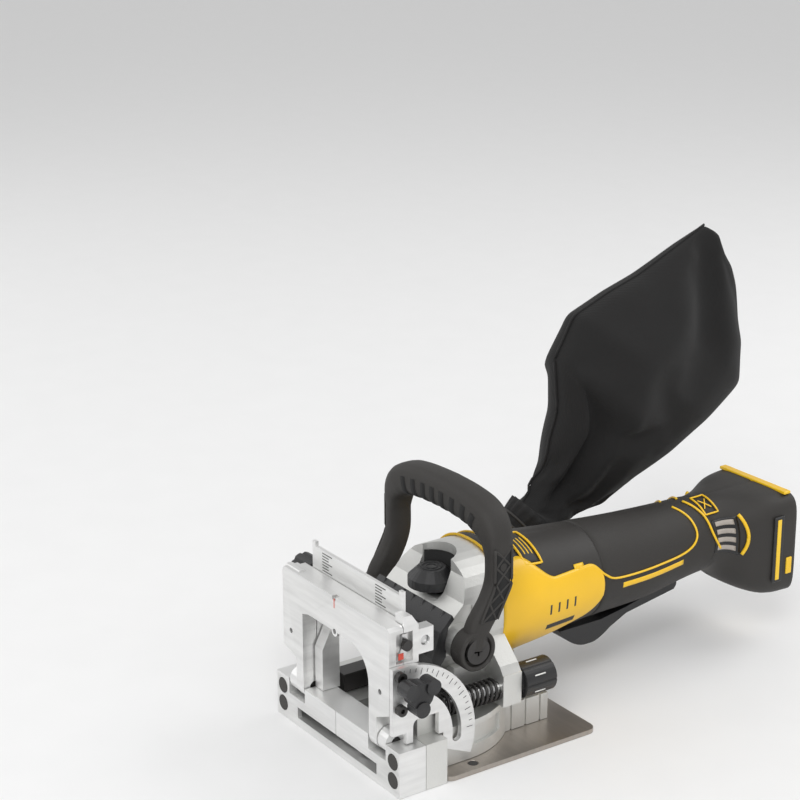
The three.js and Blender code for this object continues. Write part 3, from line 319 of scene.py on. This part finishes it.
def patch(name, mat, outline, height, y_step, a_step, sink=0.8):
    """A raised panel lying on the housing. outline gives, for a distance y, its two angles."""
    y0, y1, angles = outline
    rows = max(3, int((y1 - y0) / y_step))
    columns = max(4, int(abs(angles((y0 + y1) / 2)[1] - angles((y0 + y1) / 2)[0]) / a_step))
    top, under = [], []
    for i in range(rows + 1):
        y = y0 + (y1 - y0) * i / rows
        a0, a1 = angles(y)
        for j in range(columns + 1):
            a = a0 + (a1 - a0) * j / columns
            rim = i in (0, rows) or j in (0, columns)
            top.append(skin(y, a, height * (0.55 if rim else 1.0)))
            under.append(skin(y, a, -sink))
    n = columns + 1
    count = len(top)
    faces = []
    for i in range(rows):
        for j in range(columns):
            a = i * n + j
            faces.append((a, a + 1, a + n + 1, a + n))
            faces.append((a + count, a + n + count, a + n + 1 + count, a + 1 + count))
    border = list(range(n)) + [i * n + columns for i in range(1, rows + 1)]
    border += [rows * n + j for j in range(columns - 1, -1, -1)] + [i * n for i in range(rows - 1, 0, -1)]
    for a, b in zip(border, border[1:] + border[:1]):
        faces.append((a, b, b + count, a + count))
    return piece(name, top + under, faces, mat, "carriage")


def strip(name, points, width, mat, body="carriage", sides=8, closed=False):
    """A thin raised line through points."""
    n = len(points)
    rings = []
    for i, p in enumerate(points):
        before = points[(i - 1) % n] if closed or i else points[0]
        after = points[(i + 1) % n] if closed or i < n - 1 else points[-1]
        along = (after - before).normalized()
        out = UP.cross(along)
        out = out.normalized() if out.length > 0.01 else RIGHT
        rings.append(circle(p, out, along.cross(out), width / 2, sides))
    if closed:
        rings.append(rings[0])
    verts, faces = loft(rings, closed_ends=not closed)
    return piece(name, verts, faces, mat, body)


def smooth_path(points, per):
    """A rounded line through given points, with per points to each stretch."""
    pts = [points[0], *points, points[-1]]
    out = []
    for i in range(1, len(pts) - 2):
        p0, p1, p2, p3 = pts[i - 1 : i + 3]
        for k in range(per):
            t = k / per
            a, b = 2 * p1, (p2 - p0) * t
            c = (2 * p0 - 5 * p1 + 4 * p2 - p3) * t * t
            d = (3 * p1 - p0 - 3 * p2 + p3) * t**3
            out.append((a + b + c + d) / 2)
    return out + [points[-1]]


def on_skin(line, off):
    """Lays (distance, angle) points on the housing."""
    flat = smooth_path([Vector((y, a, 0)) for y, a in line], 8)
    return [skin(p.x, p.y, off) for p in flat]


def block(name, low, high, mat, body, bevel):
    x0, y0, z0 = low
    x1, y1, z1 = high
    verts = [(x, y, z) for x in (x0, x1) for y in (y0, y1) for z in (z0, z1)]
    faces = [(0, 1, 3, 2), (4, 6, 7, 5), (0, 4, 5, 1), (2, 3, 7, 6), (0, 2, 6, 4), (1, 5, 7, 3)]
    return piece(name, verts, faces, mat, body, smooth=False, bevel=bevel)


# ---------------------------------------------------------------- housing and grip
COLUMNS = 96  # points round the housing and the grip
PARTING = 0.5  # depth of the groove between the housing halves
GRIP_STEP = 0.9  # the grip lies in a step this deep


def housing():
    angles = [360 * k / COLUMNS for k in range(COLUMNS)]

    def depth(y, a):
        parting = PARTING if min(abs(a - 90), abs(a - 270)) < 2 else 0
        step = GRIP_STEP if GRIP_FRONT - 0.6 < y < GRIP_REAR + 0.6 else 0
        return -parting - step

    rings = [[skin(y, a, depth(y, a)) for a in angles] for y in spread(BODY_FRONT, BODY_REAR, 110)]
    inner = [[skin(y, a, -4.1) for a in angles] for y in (BODY_REAR, BODY_REAR - 11)]
    verts, faces = loft(rings + inner)
    piece("housing_shell", verts, faces, HOUSING, "carriage", ("housing_right", "housing_left"))


def grip():
    """Soft overmould with a fine moulded texture, rounded at both ends."""
    def rise(y):
        edge = min(y - GRIP_FRONT, GRIP_REAR - y)
        return GRIP_STEP * math.sin(min(1, edge / 3) * math.pi / 2) - 0.6

    ys = spread(GRIP_FRONT, GRIP_REAR, 60)
    rings = [[skin(y, 360 * k / COLUMNS, rise(y)) for k in range(COLUMNS)] for y in ys]
    verts, faces = loft(rings)
    piece("soft_grip", verts, faces, RUBBER, "carriage", ("grip_cover_right", "grip_cover_left"))


def ease(a, b, t):
    t = max(0.0, min(1.0, t))
    return a + (b - a) * t * t * (3 - 2 * t)


def side_angle(z, y, sign):
    """The angle at which the housing's side stands at height z."""
    half, zc, high, n = section(y)
    v = max(-0.97, min(0.97, (z - zc) / high))
    a = math.degrees(math.atan2(v, (1 - abs(v) ** n) ** (1 / n)))
    return a if sign > 0 else 180 - a


def mirrored(sign):
    """Turns an angle of the right side into the same place on this side."""
    return lambda angle: angle if sign > 0 else 180 - angle


def yellow_sides():
    """Yellow side panels, deepest at the front and rounded at the rear, with plain bars for a label."""
    rear, meeting = 133.0, 78  # the panel's rear edge, and the height where its two long edges meet

    def tail(y, length):
        return math.sqrt(max(0.0, 1 - max(0.0, (y - (rear - length)) / length) ** 2))

    def upper(y):
        front = ease(111, 95, (y - 66) / 26)
        return meeting + (front - meeting) * tail(y, 13)

    def lower(y):
        base = 46 + max(0.0, y - 66) * 0.26
        return meeting + (base - meeting) * tail(y, 16)

    for side, sign in SIDES:
        def angles(y, sign=sign):
            return side_angle(lower(y), y, sign), side_angle(upper(y), y, sign)

        def label(y, sign=sign):
            return side_angle(60, y, sign), side_angle(66, y, sign)

        def label_bar(y, sign=sign):
            return side_angle(71, y, sign), side_angle(80, y, sign)

        patch("yellow_side_" + side, YELLOW, (PANEL_FRONT, rear - 0.2, angles), 1.5, 1.2, 3)
        patch("label_" + side, INK, (82, 110, label), 1.55, 2, 2)
        for i in range(4):
            outline = (83 + i * 7, 87 + i * 7, label_bar)
            patch("label_bar_%s_%d" % (side, i), INK, outline, 1.55, 2, 2)


PIPING = (
    (112, 27), (124, 27), (134, 12), (146, 4), (182, 5), (208, 8), (219, 22), (219, 50), (213, 78),
)
REAR_PIPING = ((225, 84), (231, 50), (234, 18), (240, -6))


def trim_lines():
    """Yellow piping, tabs and badges on the soft grip."""
    for side, s in SIDES:
        a = mirrored(s)
        line = on_skin([(y, a(v)) for y, v in PIPING], 0.7)
        strip("piping_" + side, line, 1.5, YELLOW)
        line = on_skin([(y, a(v)) for y, v in REAR_PIPING], 0.9)
        strip("rear_piping_" + side, line, 1.6, YELLOW)

        def tab(y, a=a):
            return a(24), a(33)

        def stripe(y, a=a):
            lift = (y - 152) * 0.04
            return a(-11 + lift), a(-4 + lift)

        patch("tab_" + side, YELLOW, (109, 117, tab), 1.1, 2, 3)
        patch("stripe_" + side, YELLOW, (150, 205, stripe), 0.7, 3, 2)

    def frame_line(y0, y1, a0, a1):
        corners = [(y0, a0), (y0, a1), (y1, a1), (y1, a0), (y0, a0)]
        out = []
        for (p, q), (r, t) in zip(corners, corners[1:]):
            out += [skin(p + (r - p) * k / 8, q + (t - q) * k / 8, 0.9) for k in range(8)]
        return out

    strip("top_badge_frame", frame_line(70, 84, 42, 88), 1.6, YELLOW, closed=True)
    patch("top_badge", INK, (71.5, 82.5, lambda y: (44, 86)), 0.6, 2, 3)
    for i in range(3):
        outline = (74 + i * 3, 75.2 + i * 3, lambda y: (52, 78))
        patch("top_badge_bar_%d" % i, YELLOW, outline, 0.9, 1, 4)
    strip("rear_badge_frame", frame_line(233, 244, 48, 86), 1.3, YELLOW, closed=True)
    for i, tilt in enumerate((-1, 1)):
        ends = [skin(235.5 + k * 0.6, 67 + tilt * (k - 5) * 1.8, 0.8) for k in range(11)]
        strip("rear_badge_cross_%d" % i, ends, 0.9, YELLOW)


def vents():
    """Black sheet of painted shade in the vent openings, pale louvres over it, and a yellow crescent on each
    side.
    """
    for side, s in SIDES:
        a = mirrored(s)
        # The black window is painted shade for the openings behind the louvres
        patch("vent_opening_shade_" + side, BLACK, (236, 255, lambda y, a=a: (a(-14), a(38))), 0.5, 2, 3)
        for i in range(4):
            outline = (238, 252, lambda y, a=a, v=-9 + i * 12: (a(v), a(v + 7)))
            patch("louvre_%s_%d" % (side, i), GREY, outline, 1.3, 2, 2)
        arc = [skin(256 + 4 * math.sin(math.pi * k / 14), a(-10 + 50 * k / 14), 0.9) for k in range(15)]
        strip("vent_crescent_" + side, arc, 2.6, YELLOW)


def foot_trim():
    """Strips, pills and the catch of the battery foot, with black painted shade in the grooves round the side
    strips.
    """
    half, zc, high, _ = section(BODY_REAR)
    top, bottom = zc + high, zc - high

    def trim(name, xs, ahead, zs, bevel, mat=YELLOW):
        """A block whose two y values lie ahead of the foot's rear end."""
        first = (xs[0], BODY_REAR - ahead[0], zs[0])
        last = (xs[1], BODY_REAR - ahead[1], zs[1])
        block(name, first, last, mat, "carriage", bevel)

    trim("foot_top_strip", (-half + 6, half - 6), (7, 1), (top - 1.2, top + 1.0), 0.7)
    for side, s in SIDES:
        x = sorted((s * (half - 0.6), s * (half + 0.9)))
        proud = sorted((s * (half + 0.4), s * (half + 1.3)))
        # Black painted shade for the groove round each side strip
        trim("foot_groove_shade_" + side, x, (21, 12), (46, 94), 0.8, BLACK)
        trim("foot_strip_" + side, proud, (18.5, 15), (48, 92), 0.6)
        trim("foot_pill_" + side, x, (8, 3), (50, 62), 0.7)
    trim("foot_catch", (-9, 9), (18, 7), (bottom - 2.5, bottom + 1), 1.0)


# ---------------------------------------------------------------- bail handle
LEG_Y = 30.5  # where the bail's legs and grip stand, behind the spindle
EYE_DEPTH = 5.8  # half the width of the eye at the foot of a leg
LEG_WIDE, LEG_DEEP = 5.7, 8.0  # half sizes of the leg's section
GRIP_WIDE, GRIP_DEEP = 10.3, 10.6  # half sizes of the grip's section
EYE_PROFILE = (  # radius, and height above the middle of the eye
    (3.4, -5.8), (13, -5.8), (13.2, -5), (13.2, 4.6), (12.4, 5.6), (10.6, 5.6), (10, 4.8), (10, 3),
    (8.6, 2.2), (3.4, 2.2),
)


def rounded_section(centre, across, along_y, a, b, count=24):
    squareness = 3.2
    ring = []
    for k in range(count):
        t = 2 * math.pi * k / count
        c, s = math.cos(t), math.sin(t)
        r = (abs(c) ** squareness + abs(s) ** squareness) ** (-1 / squareness)
        ring.append(centre + across * (c * r * a) + along_y * (s * r * b))
    return ring


def bail():
    """Moulded bail: round eyes on the gear case, braced legs and a ribbed grip across the top."""
    top_z, half = BAIL_TOP - 11, BAIL_HALF - EYE_DEPTH
    side = [Vector(p) for p in (
        (half, PIVOT.y, PIVOT.z), (half, PIVOT.y + 3, PIVOT.z + 13), (half, 25, 101), (half, 30, 114),
        (half, LEG_Y, 130), (half - 2.5, LEG_Y, 143), (half - 13, LEG_Y, 152.5), (half - 31, LEG_Y, 156),
        (0, LEG_Y, top_z),
    )]
    half_path = smooth_path(side, 9)
    path = half_path + [Vector((-p.x, p.y, p.z)) for p in reversed(half_path[:-1])]
    rings = []
    for i, p in enumerate(path):
        along = (path[min(len(path) - 1, i + 1)] - path[max(0, i - 1)]).normalized()
        across = REAR.cross(along).normalized()
        depth = along.cross(across).normalized()
        grip_share = max(0.0, min(1.0, (p.z - 130) / 20))
        wide = LEG_WIDE + (GRIP_WIDE - LEG_WIDE) * grip_share
        deep = LEG_DEEP + (GRIP_DEEP - LEG_DEEP) * grip_share
        rings.append(rounded_section(p, across, depth, wide, deep))
    verts, faces = loft(rings)
    piece("bail_grip", verts, faces, RUBBER, "carriage", ("bail_handle",))
    for name, s in SIDES:
        bail_eye(name, s)
        bail_web(name, s)
    length = 0.0
    for i in range(1, len(path) - 1):
        length += (path[i] - path[i - 1]).length
        if abs(path[i].x) < 40 and length > 9:
            length = 0.0
            bail_slot_shade(i, path[i], (path[i + 1] - path[i - 1]).normalized())


def bail_slot_shade(number, centre, along):
    """Painted shade in the gap between two finger ribs: a near-black strip on the inner and front faces of the
    grip.
    """
    across = REAR.cross(along).normalized()
    depth = along.cross(across).normalized()
    edges = []
    for size, step in ((0.92, -2.2), (1.025, -2.2), (1.025, 2.2), (0.92, 2.2)):
        middle_of_edge = centre + along * step
        ring = rounded_section(middle_of_edge, across, depth, GRIP_WIDE * size, GRIP_DEEP * size, count=48)
        edges.append(ring[22:39])
    verts, faces = bar(edges)
    # The strip is near-black painted shade for the gap
    piece("bail_slot_%d" % number, verts, faces, PAINTED_SHADE, "carriage")


def bail_eye(name, s):
    """Turned eye with a raised rim round the screw."""
    x = s * (BAIL_HALF - EYE_DEPTH)
    rings = [circle(Vector((x + s * h, PIVOT.y, PIVOT.z)), REAR, UP, r, 48) for r, h in EYE_PROFILE]
    verts, faces = loft([*rings, rings[0]], closed_ends=False)
    piece("bail_eye_" + name, verts, faces, RUBBER, "carriage", bevel=0.3)


def bail_web(name, s):
    """Crossed braces standing on the recessed outer face of the leg, with near-black painted shade filling the
    recess.
    """
    x = s * (BAIL_HALF - 0.1)
    joints = [92, 103, 114, 125, 136]
    heights = range(92, 138, 3)

    def leg_y(z):
        return LEG_Y - max(0, 112 - z) * 0.52

    for i, (z0, z1) in enumerate(zip(joints, joints[1:])):
        for k, flip in enumerate((1, -1)):
            a = Vector((x, leg_y(z0) - 5.2 * flip, z0))
            b = Vector((x, leg_y(z1) + 5.2 * flip, z1))
            brace = [a.lerp(b, t / 4) for t in range(5)]
            strip("bail_brace_%s_%d_%d" % (name, i, k), brace, 1.4, RUBBER)
    # A near-black box of painted shade fills the recess between the leg's edges
    corners = ((2, -5), (2, 5), (-0.15, 5), (-0.15, -5))
    verts, faces = loft([[Vector((x - s * d, leg_y(z) + e, z)) for d, e in corners] for z in heights])
    piece("bail_recess_shade_" + name, verts, faces, PAINTED_SHADE, "carriage")
    for k, e in enumerate((-6.2, 6.2)):
        points = [Vector((x, leg_y(z) + e, z)) for z in heights]
        strip("bail_edge_%s_%d" % (name, k), points, 1.8, RUBBER)


# ---------------------------------------------------------------- gear case details
def gear_case_details():
    """Yellow and black band over the gear case, near-black painted shade in its recesses, and ribs on the
    black shield.
    """
    patch("case_band", INK, (48, 57, lambda y: (38, 142)), 1.5, 2, 3, sink=1.5)
    for i, y in enumerate((47.4, 57.6)):
        points = [skin(y, 36 + 108 * k / 30, 1.6) for k in range(31)]
        strip("case_band_edge_%d" % i, points, 1.8, YELLOW)
    for side, s in SIDES:
        # Near-black discs of painted shade stand for the shade in the case's recesses
        for i, (x, y, z) in enumerate(((37.0, 25, 72), (38.2, 36, 60))):
            ring = circle(Vector((s * x, y, z)), REAR * 4, UP * 3.2, 1, 20)
            verts, faces = loft([ring, [p + RIGHT * (s * 0.9) for p in ring]])
            piece("case_recess_shade_%s_%d" % (side, i), verts, faces, PAINTED_SHADE, "carriage")
    y0, z0 = lo("gear_case_shield").y, 68.0
    y1, z1 = hi("gear_case_shield").y - 1.5, hi("gear_case_shield").z
    for i in range(7):
        x = (i - 3) * 10.5
        points = [Vector((x, y0 + (y1 - y0) * t / 6 - 0.2, z0 + (z1 - z0) * t / 6)) for t in range(7)]
        strip("shield_rib_%d" % i, points, 1.6, BLACK)


def lock_button_details():
    """Near-black painted shade on the wall of the button's recess, and two rings on the button's crown."""
    c = middle("spindle_lock_button")
    wide = hi("spindle_lock_button").x + 0.4
    floor, rim = lo("spindle_lock_button").z + 2.7, 113
    turns = [math.radians(18 + 6 * k) for k in range(25)]
    # The recess wall is a thin near-black band of painted shade
    wall = []
    for radius, z in ((wide, floor), (wide, rim), (wide - 0.25, rim), (wide - 0.25, floor)):
        wall.append([Vector((c.x + radius * math.cos(t), c.y + radius * math.sin(t), z)) for t in turns])
    verts, faces = bar(wall)
    piece("lock_recess_shade", verts, faces, PAINTED_SHADE, "carriage")
    crown = Vector((c.x, c.y, hi("spindle_lock_button").z + 0.1))
    for i, radius in enumerate((3.6, 6.4)):
        ring = circle(crown, RIGHT, REAR, radius, 32)
        strip("lock_ring_%d" % i, ring, 0.9, BLACK, body="lock_button", closed=True)


# ---------------------------------------------------------------- markings
def height_scale():
    """Two groups of ticks on the scale plate."""
    plate_y = FRONT + 16.0
    for group, x in (("left", -38), ("right", 21)):
        for i in range(7):
            z = 105.5 + i * 1.9
            length = 11 if i % 3 == 0 else 7
            low, high = (x, plate_y - 0.14, z), (x + length, plate_y + 0.3, z + 0.55)
            block("height_tick_%s_%d" % (group, i), low, high, INK, "shoe", 0)


def angle_scale():
    """Ticks every 5 degrees round the quadrant, and the red tip of its pointer."""
    centre = Vector((hi("tilt_quadrant").x, FRONT + 8, 29))
    for i in range(19):
        a = math.radians(i * 5)
        outward = Vector((0, math.cos(a), math.sin(a)))
        inner, outer = centre + outward * (46 if i % 3 == 0 else 47.6), centre + outward * 50
        tick = [inner.lerp(outer, t / 2) for t in range(3)]
        strip("angle_tick_%d" % i, tick, 0.42, INK, body="fence", sides=6)
    low, high = lo("angle_pointer"), hi("angle_pointer")
    first, last = (high.x - 0.2, low.y + 1, low.z), (high.x + 0.3, high.y - 3, low.z + 4)
    block("pointer_tip", first, last, RED, "height_carrier", 0)


def centre_and_depth_marks():
    """Red centre line on the arch and pale lines along the depth knob."""
    arch = lo("fence_arch").y
    block("fence_centre_mark", (-0.35, arch - 0.12, 98), (0.35, arch + 0.3, 104), RED, "fence", 0)
    knob = middle("depth_knob")
    for i in range(6):
        a = math.radians(60 * i + 30)
        start = Vector((knob.x + 11.0 * math.cos(a), knob.y - 4, knob.z + 11.0 * math.sin(a)))
        line = [start + REAR * d for d in (0, 4, 8)]
        strip("depth_mark_%d" % i, line, 0.9, WHITE, body="depth_knob", sides=6)


# ---------------------------------------------------------------- spring
def spring():
    """Round-wire return spring on its rod."""
    turns, steps, wire = 13, 13 * 24, 1.05
    margin = 1.1  # the wire's radius and a little more
    low, high = lo("return_spring"), hi("return_spring")
    axis = Vector(((low.x + high.x) / 2, 0, (low.z + high.z) / 2))
    radius = (high.x - low.x) / 2 - margin
    rings = []
    for i in range(steps + 1):
        a = 2 * math.pi * turns * i / steps
        out = RIGHT * math.cos(a) + UP * math.sin(a)
        y = low.y + margin + (high.y - low.y - 2 * margin) * i / steps
        rings.append(circle(axis + out * radius + REAR * y, out, REAR, wire, 10))
    verts, faces = loft(rings)
    coil = piece("spring_coil", verts, faces, DARK, "shoe", ("return_spring",))
    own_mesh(coil)


# ---------------------------------------------------------------- dust bag
# Side outline of the bag from the neck to its far end, as (y, z), and half its thickness.
BAG_FRONT = (
    (139, 97), (147, 112), (155, 135), (163, 170), (160, 205), (175, 233), (205, 245), (231, 253),
    (265, 268), (292, 280),
)
BAG_REAR = (
    (166, 90), (187, 90), (209, 93), (233, 108), (267, 121), (299, 139), (328, 160), (331, 190),
    (320, 232), (306, 268),
)
BAG_THICK = (15, 16, 19, 23, 26, 28, 27, 24, 17, 7)
BAG_X = -63  # middle of the bag, to the left of the tool
BAG_ROWS, BAG_COLUMNS = 64, 72
NECK_ALONG = Vector((0.13, 0.77, 0.62)).normalized()
NECK_SHARE = 0.16  # the part of the bag's length over which the round neck becomes the flat bag
CLOTH_FRAMES = 14
SETTLE = (10, 3, 3)  # the furthest the cloth may settle in x, y and z
SLACK = 6 * MM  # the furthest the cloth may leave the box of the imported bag
HOUSING_CLEAR, HOUSING_TOP = -34 * MM, 150 * MM  # below this top, the cloth stays left of this x


def bag_value(rows, s):
    i = min(len(rows) - 2, int(s * (len(rows) - 1)))
    t = s * (len(rows) - 1) - i
    return rows[i] + (rows[i + 1] - rows[i]) * t


def neck_ring(height, radius):
    """A circle over the collar, in the order of the bag's own rings."""
    rear = NECK_ALONG.cross(RIGHT).normalized()
    rear = rear if rear.y > 0 else -rear
    return circle(middle("dust_collar") + NECK_ALONG * height, -rear, RIGHT, radius, BAG_COLUMNS)


def bag_fold(s, u):
    """Folds and broad dents of the cloth, at a share s of the length and u of the width."""
    fade = math.sin(math.pi * min(1, s * 2.2 + 0.08))
    fold = 3.4 * math.sin(u * 19 + 3 * noise.noise(Vector((s * 3, u * 2, SEED)))) * fade
    return fold + 9 * noise.noise(Vector((u * 3.6 + s * 2, s * 4.2, SEED + 3)))


def dust_bag():
    """Cloth bag: a lofted shell blown up and sagged by the cloth solver, then seamed."""
    low, high = lo("dust_bag"), hi("dust_bag")
    rings = []
    for i in range(BAG_ROWS + 1):
        s = i / BAG_ROWS
        front = [bag_value([p[k] for p in BAG_FRONT], s) for k in range(2)]
        rear = [bag_value([p[k] for p in BAG_REAR], s) for k in range(2)]
        thick = bag_value(BAG_THICK, s)
        cx = BAG_X + 3 * math.sin(s * 3)
        ring = []
        for k in range(BAG_COLUMNS):
            t = 2 * math.pi * k / BAG_COLUMNS
            u = 0.5 - 0.5 * math.cos(t)
            x = cx + (thick + bag_fold(s, u)) * abs(math.sin(t)) ** 0.75 * (1 if math.sin(t) > 0 else -1)
            y, z = front[0] + (rear[0] - front[0]) * u, front[1] + (rear[1] - front[1]) * u
            ring.append(Vector((max(low.x + 1, min(high.x + 4, x)), y, z)))
        neck = neck_ring(11 + s * 120, 18.4)
        rings.append([a.lerp(b, ease(0, 1, s / NECK_SHARE)) for a, b in zip(neck, ring)])
    verts, faces = loft(rings)
    obj = piece("cloth_bag", verts, faces, CLOTH, "shoe", ("dust_bag",))
    settle(obj)
    keep_clear(obj)
    sub = obj.modifiers.new("smooth", "SUBSURF")
    sub.levels = sub.render_levels = 1
    seam = [obj.data.vertices[i * BAG_COLUMNS].co / MM - REAR * 0.6 for i in range(4, BAG_ROWS + 1)]
    strip("bag_seam_front", seam, 1.8, CLOTH, body="shoe")
    cuff()


def settle(obj):
    """Short cloth run: light pressure and gravity, with the neck held."""
    start = [v.co.copy() for v in obj.data.vertices]
    held = obj.vertex_groups.new(name="neck")
    held.add(list(range(BAG_COLUMNS * 4)), 1.0, "REPLACE")
    cloth = obj.modifiers.new("cloth", "CLOTH")
    cloth.settings.quality = 4
    cloth.settings.vertex_group_mass = "neck"
    cloth.settings.use_pressure = True
    cloth.settings.uniform_pressure_force = 1.5
    cloth.settings.effector_weights.gravity = 0.15
    cloth.settings.bending_stiffness = 2.0
    cloth.settings.tension_stiffness = 12
    cloth.point_cache.frame_end = CLOTH_FRAMES
    scene = bpy.context.scene
    for f in range(1, CLOTH_FRAMES + 1):
        scene.frame_set(f)
    evaluated = obj.evaluated_get(bpy.context.evaluated_depsgraph_get())
    moved = [v.co.copy() for v in evaluated.data.vertices]
    obj.modifiers.remove(cloth)
    for v, a, b in zip(obj.data.vertices, start, moved):
        step = b - a
        for axis, most in enumerate(SETTLE):
            step[axis] = max(-most * MM, min(most * MM, step[axis]))
        v.co = a + step
    scene.frame_set(1)


def keep_clear(obj):
    """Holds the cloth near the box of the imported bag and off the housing."""
    low, high = Vector(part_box("dust_bag")[0]), Vector(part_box("dust_bag")[1])
    for v in obj.data.vertices:
        limit = high.x + SLACK if v.co.z > HOUSING_TOP else HOUSING_CLEAR
        v.co.x = max(low.x - SLACK, min(limit, v.co.x))
        v.co.z = max(low.z - SLACK, min(high.z + SLACK, v.co.z))
        v.co.y = min(high.y + SLACK, v.co.y)


def cuff():
    """Gathered neck with an elastic band over the collar."""
    centre = middle("dust_collar")
    side = NECK_ALONG.cross(RIGHT).normalized()
    third = NECK_ALONG.cross(side)
    rings = []
    for height, radius in ((-3, 18.2), (0, 18.8), (4, 17.8), (9, 18.4), (14, 19.3), (18, 19.8)):
        ring = []
        for k in range(72):
            a = 2 * math.pi * k / 72
            pleat = 0.5 * math.sin(a * 18) * (height + 3) / 14
            out = side * math.cos(a) + third * math.sin(a)
            ring.append(centre + NECK_ALONG * height + out * (radius + pleat))
        rings.append(ring)
    verts, faces = loft(rings, closed_ends=False)
    obj = piece("bag_cuff", verts, faces, CLOTH, "shoe")
    obj.modifiers.new("cloth_thickness", "SOLIDIFY").thickness = 0.8 * MM
    for i, height in enumerate((1, 7)):
        ring = circle(centre + NECK_ALONG * height, side, third, 18.9, 48)
        strip("bag_band_%d" % i, ring, 1.6, RUBBER, body="shoe", closed=True)


# ---------------------------------------------------------------- studio
LIGHT_TARGET = Vector((0, 0.05, 0.08))
LIGHTS = (  # name, place and size in metres, power in watts
    ("key", (1.1, -1.0, 1.5), 1.0, 17), ("fill", (-1.4, -0.7, 1.0), 1.4, 5), ("rim", (0.2, 1.5, 1.3), 1.0, 9),
)
CAMERA_PLACE = Vector((929.6, -641.3, 588.5))
CAMERA_AZIMUTH, CAMERA_ELEVATION, CAMERA_ROLL = 55.58, 18.06, -0.17
CAMERA_LENS, SENSOR = 89.2, 36


def studio():
    """Pale paper floor, even surroundings and three soft lights."""
    scene = bpy.context.scene
    bpy.ops.mesh.primitive_plane_add(size=8, location=(0, 0, -0.0002))
    floor = bpy.context.object
    floor.name = "floor"
    paper = material("floor_paper", (0.86, 0.86, 0.86), 0.7, bump=0.02, scale=60, wear=0.004)
    floor.data.materials.append(paper)
    world = bpy.data.worlds.new("studio")
    world.use_nodes = True
    background = world.node_tree.nodes["Background"]
    background.inputs["Color"].default_value = (1, 1, 1, 1)
    background.inputs["Strength"].default_value = 0.66
    scene.world = world
    scene.view_settings.view_transform = "Standard"  # plain colours, as a catalogue picture has
    for name, place, size, power in LIGHTS:
        lamp = bpy.data.lights.new(name, "AREA")
        lamp.size = size
        lamp.energy = power
        lamp_object = bpy.data.objects.new(name, lamp)
        lamp_object.location = place
        lamp_object.rotation_euler = (LIGHT_TARGET - Vector(place)).to_track_quat("-Z", "Y").to_euler()
        scene.collection.objects.link(lamp_object)


def camera():
    """Three-quarter view from the front right, above the tool."""
    azimuth, elevation, roll = map(math.radians, (CAMERA_AZIMUTH, CAMERA_ELEVATION, CAMERA_ROLL))
    level = Vector((math.sin(azimuth), -math.cos(azimuth), 0))
    back = level * math.cos(elevation) + UP * math.sin(elevation)
    right = Vector((math.cos(azimuth), math.sin(azimuth), 0))
    up = back.cross(right)
    turned_right = math.cos(roll) * right + math.sin(roll) * up
    turned_up = -math.sin(roll) * right + math.cos(roll) * up
    data = bpy.data.cameras.new("camera")
    data.lens = CAMERA_LENS
    data.sensor_width = SENSOR
    data.clip_end = 20
    cam = bpy.data.objects.new("camera", data)
    basis = Matrix((turned_right, turned_up, back)).transposed().to_4x4()
    cam.matrix_world = Matrix.Translation(CAMERA_PLACE * MM) @ basis
    bpy.context.scene.collection.objects.link(cam)
    bpy.context.scene.camera = cam


camera()
studio()
dress_cad_nodes()
housing()
grip()
yellow_sides()
trim_lines()
vents()
foot_trim()
bail()
gear_case_details()
lock_button_details()
height_scale()
angle_scale()
centre_and_depth_marks()
spring()
dust_bag()
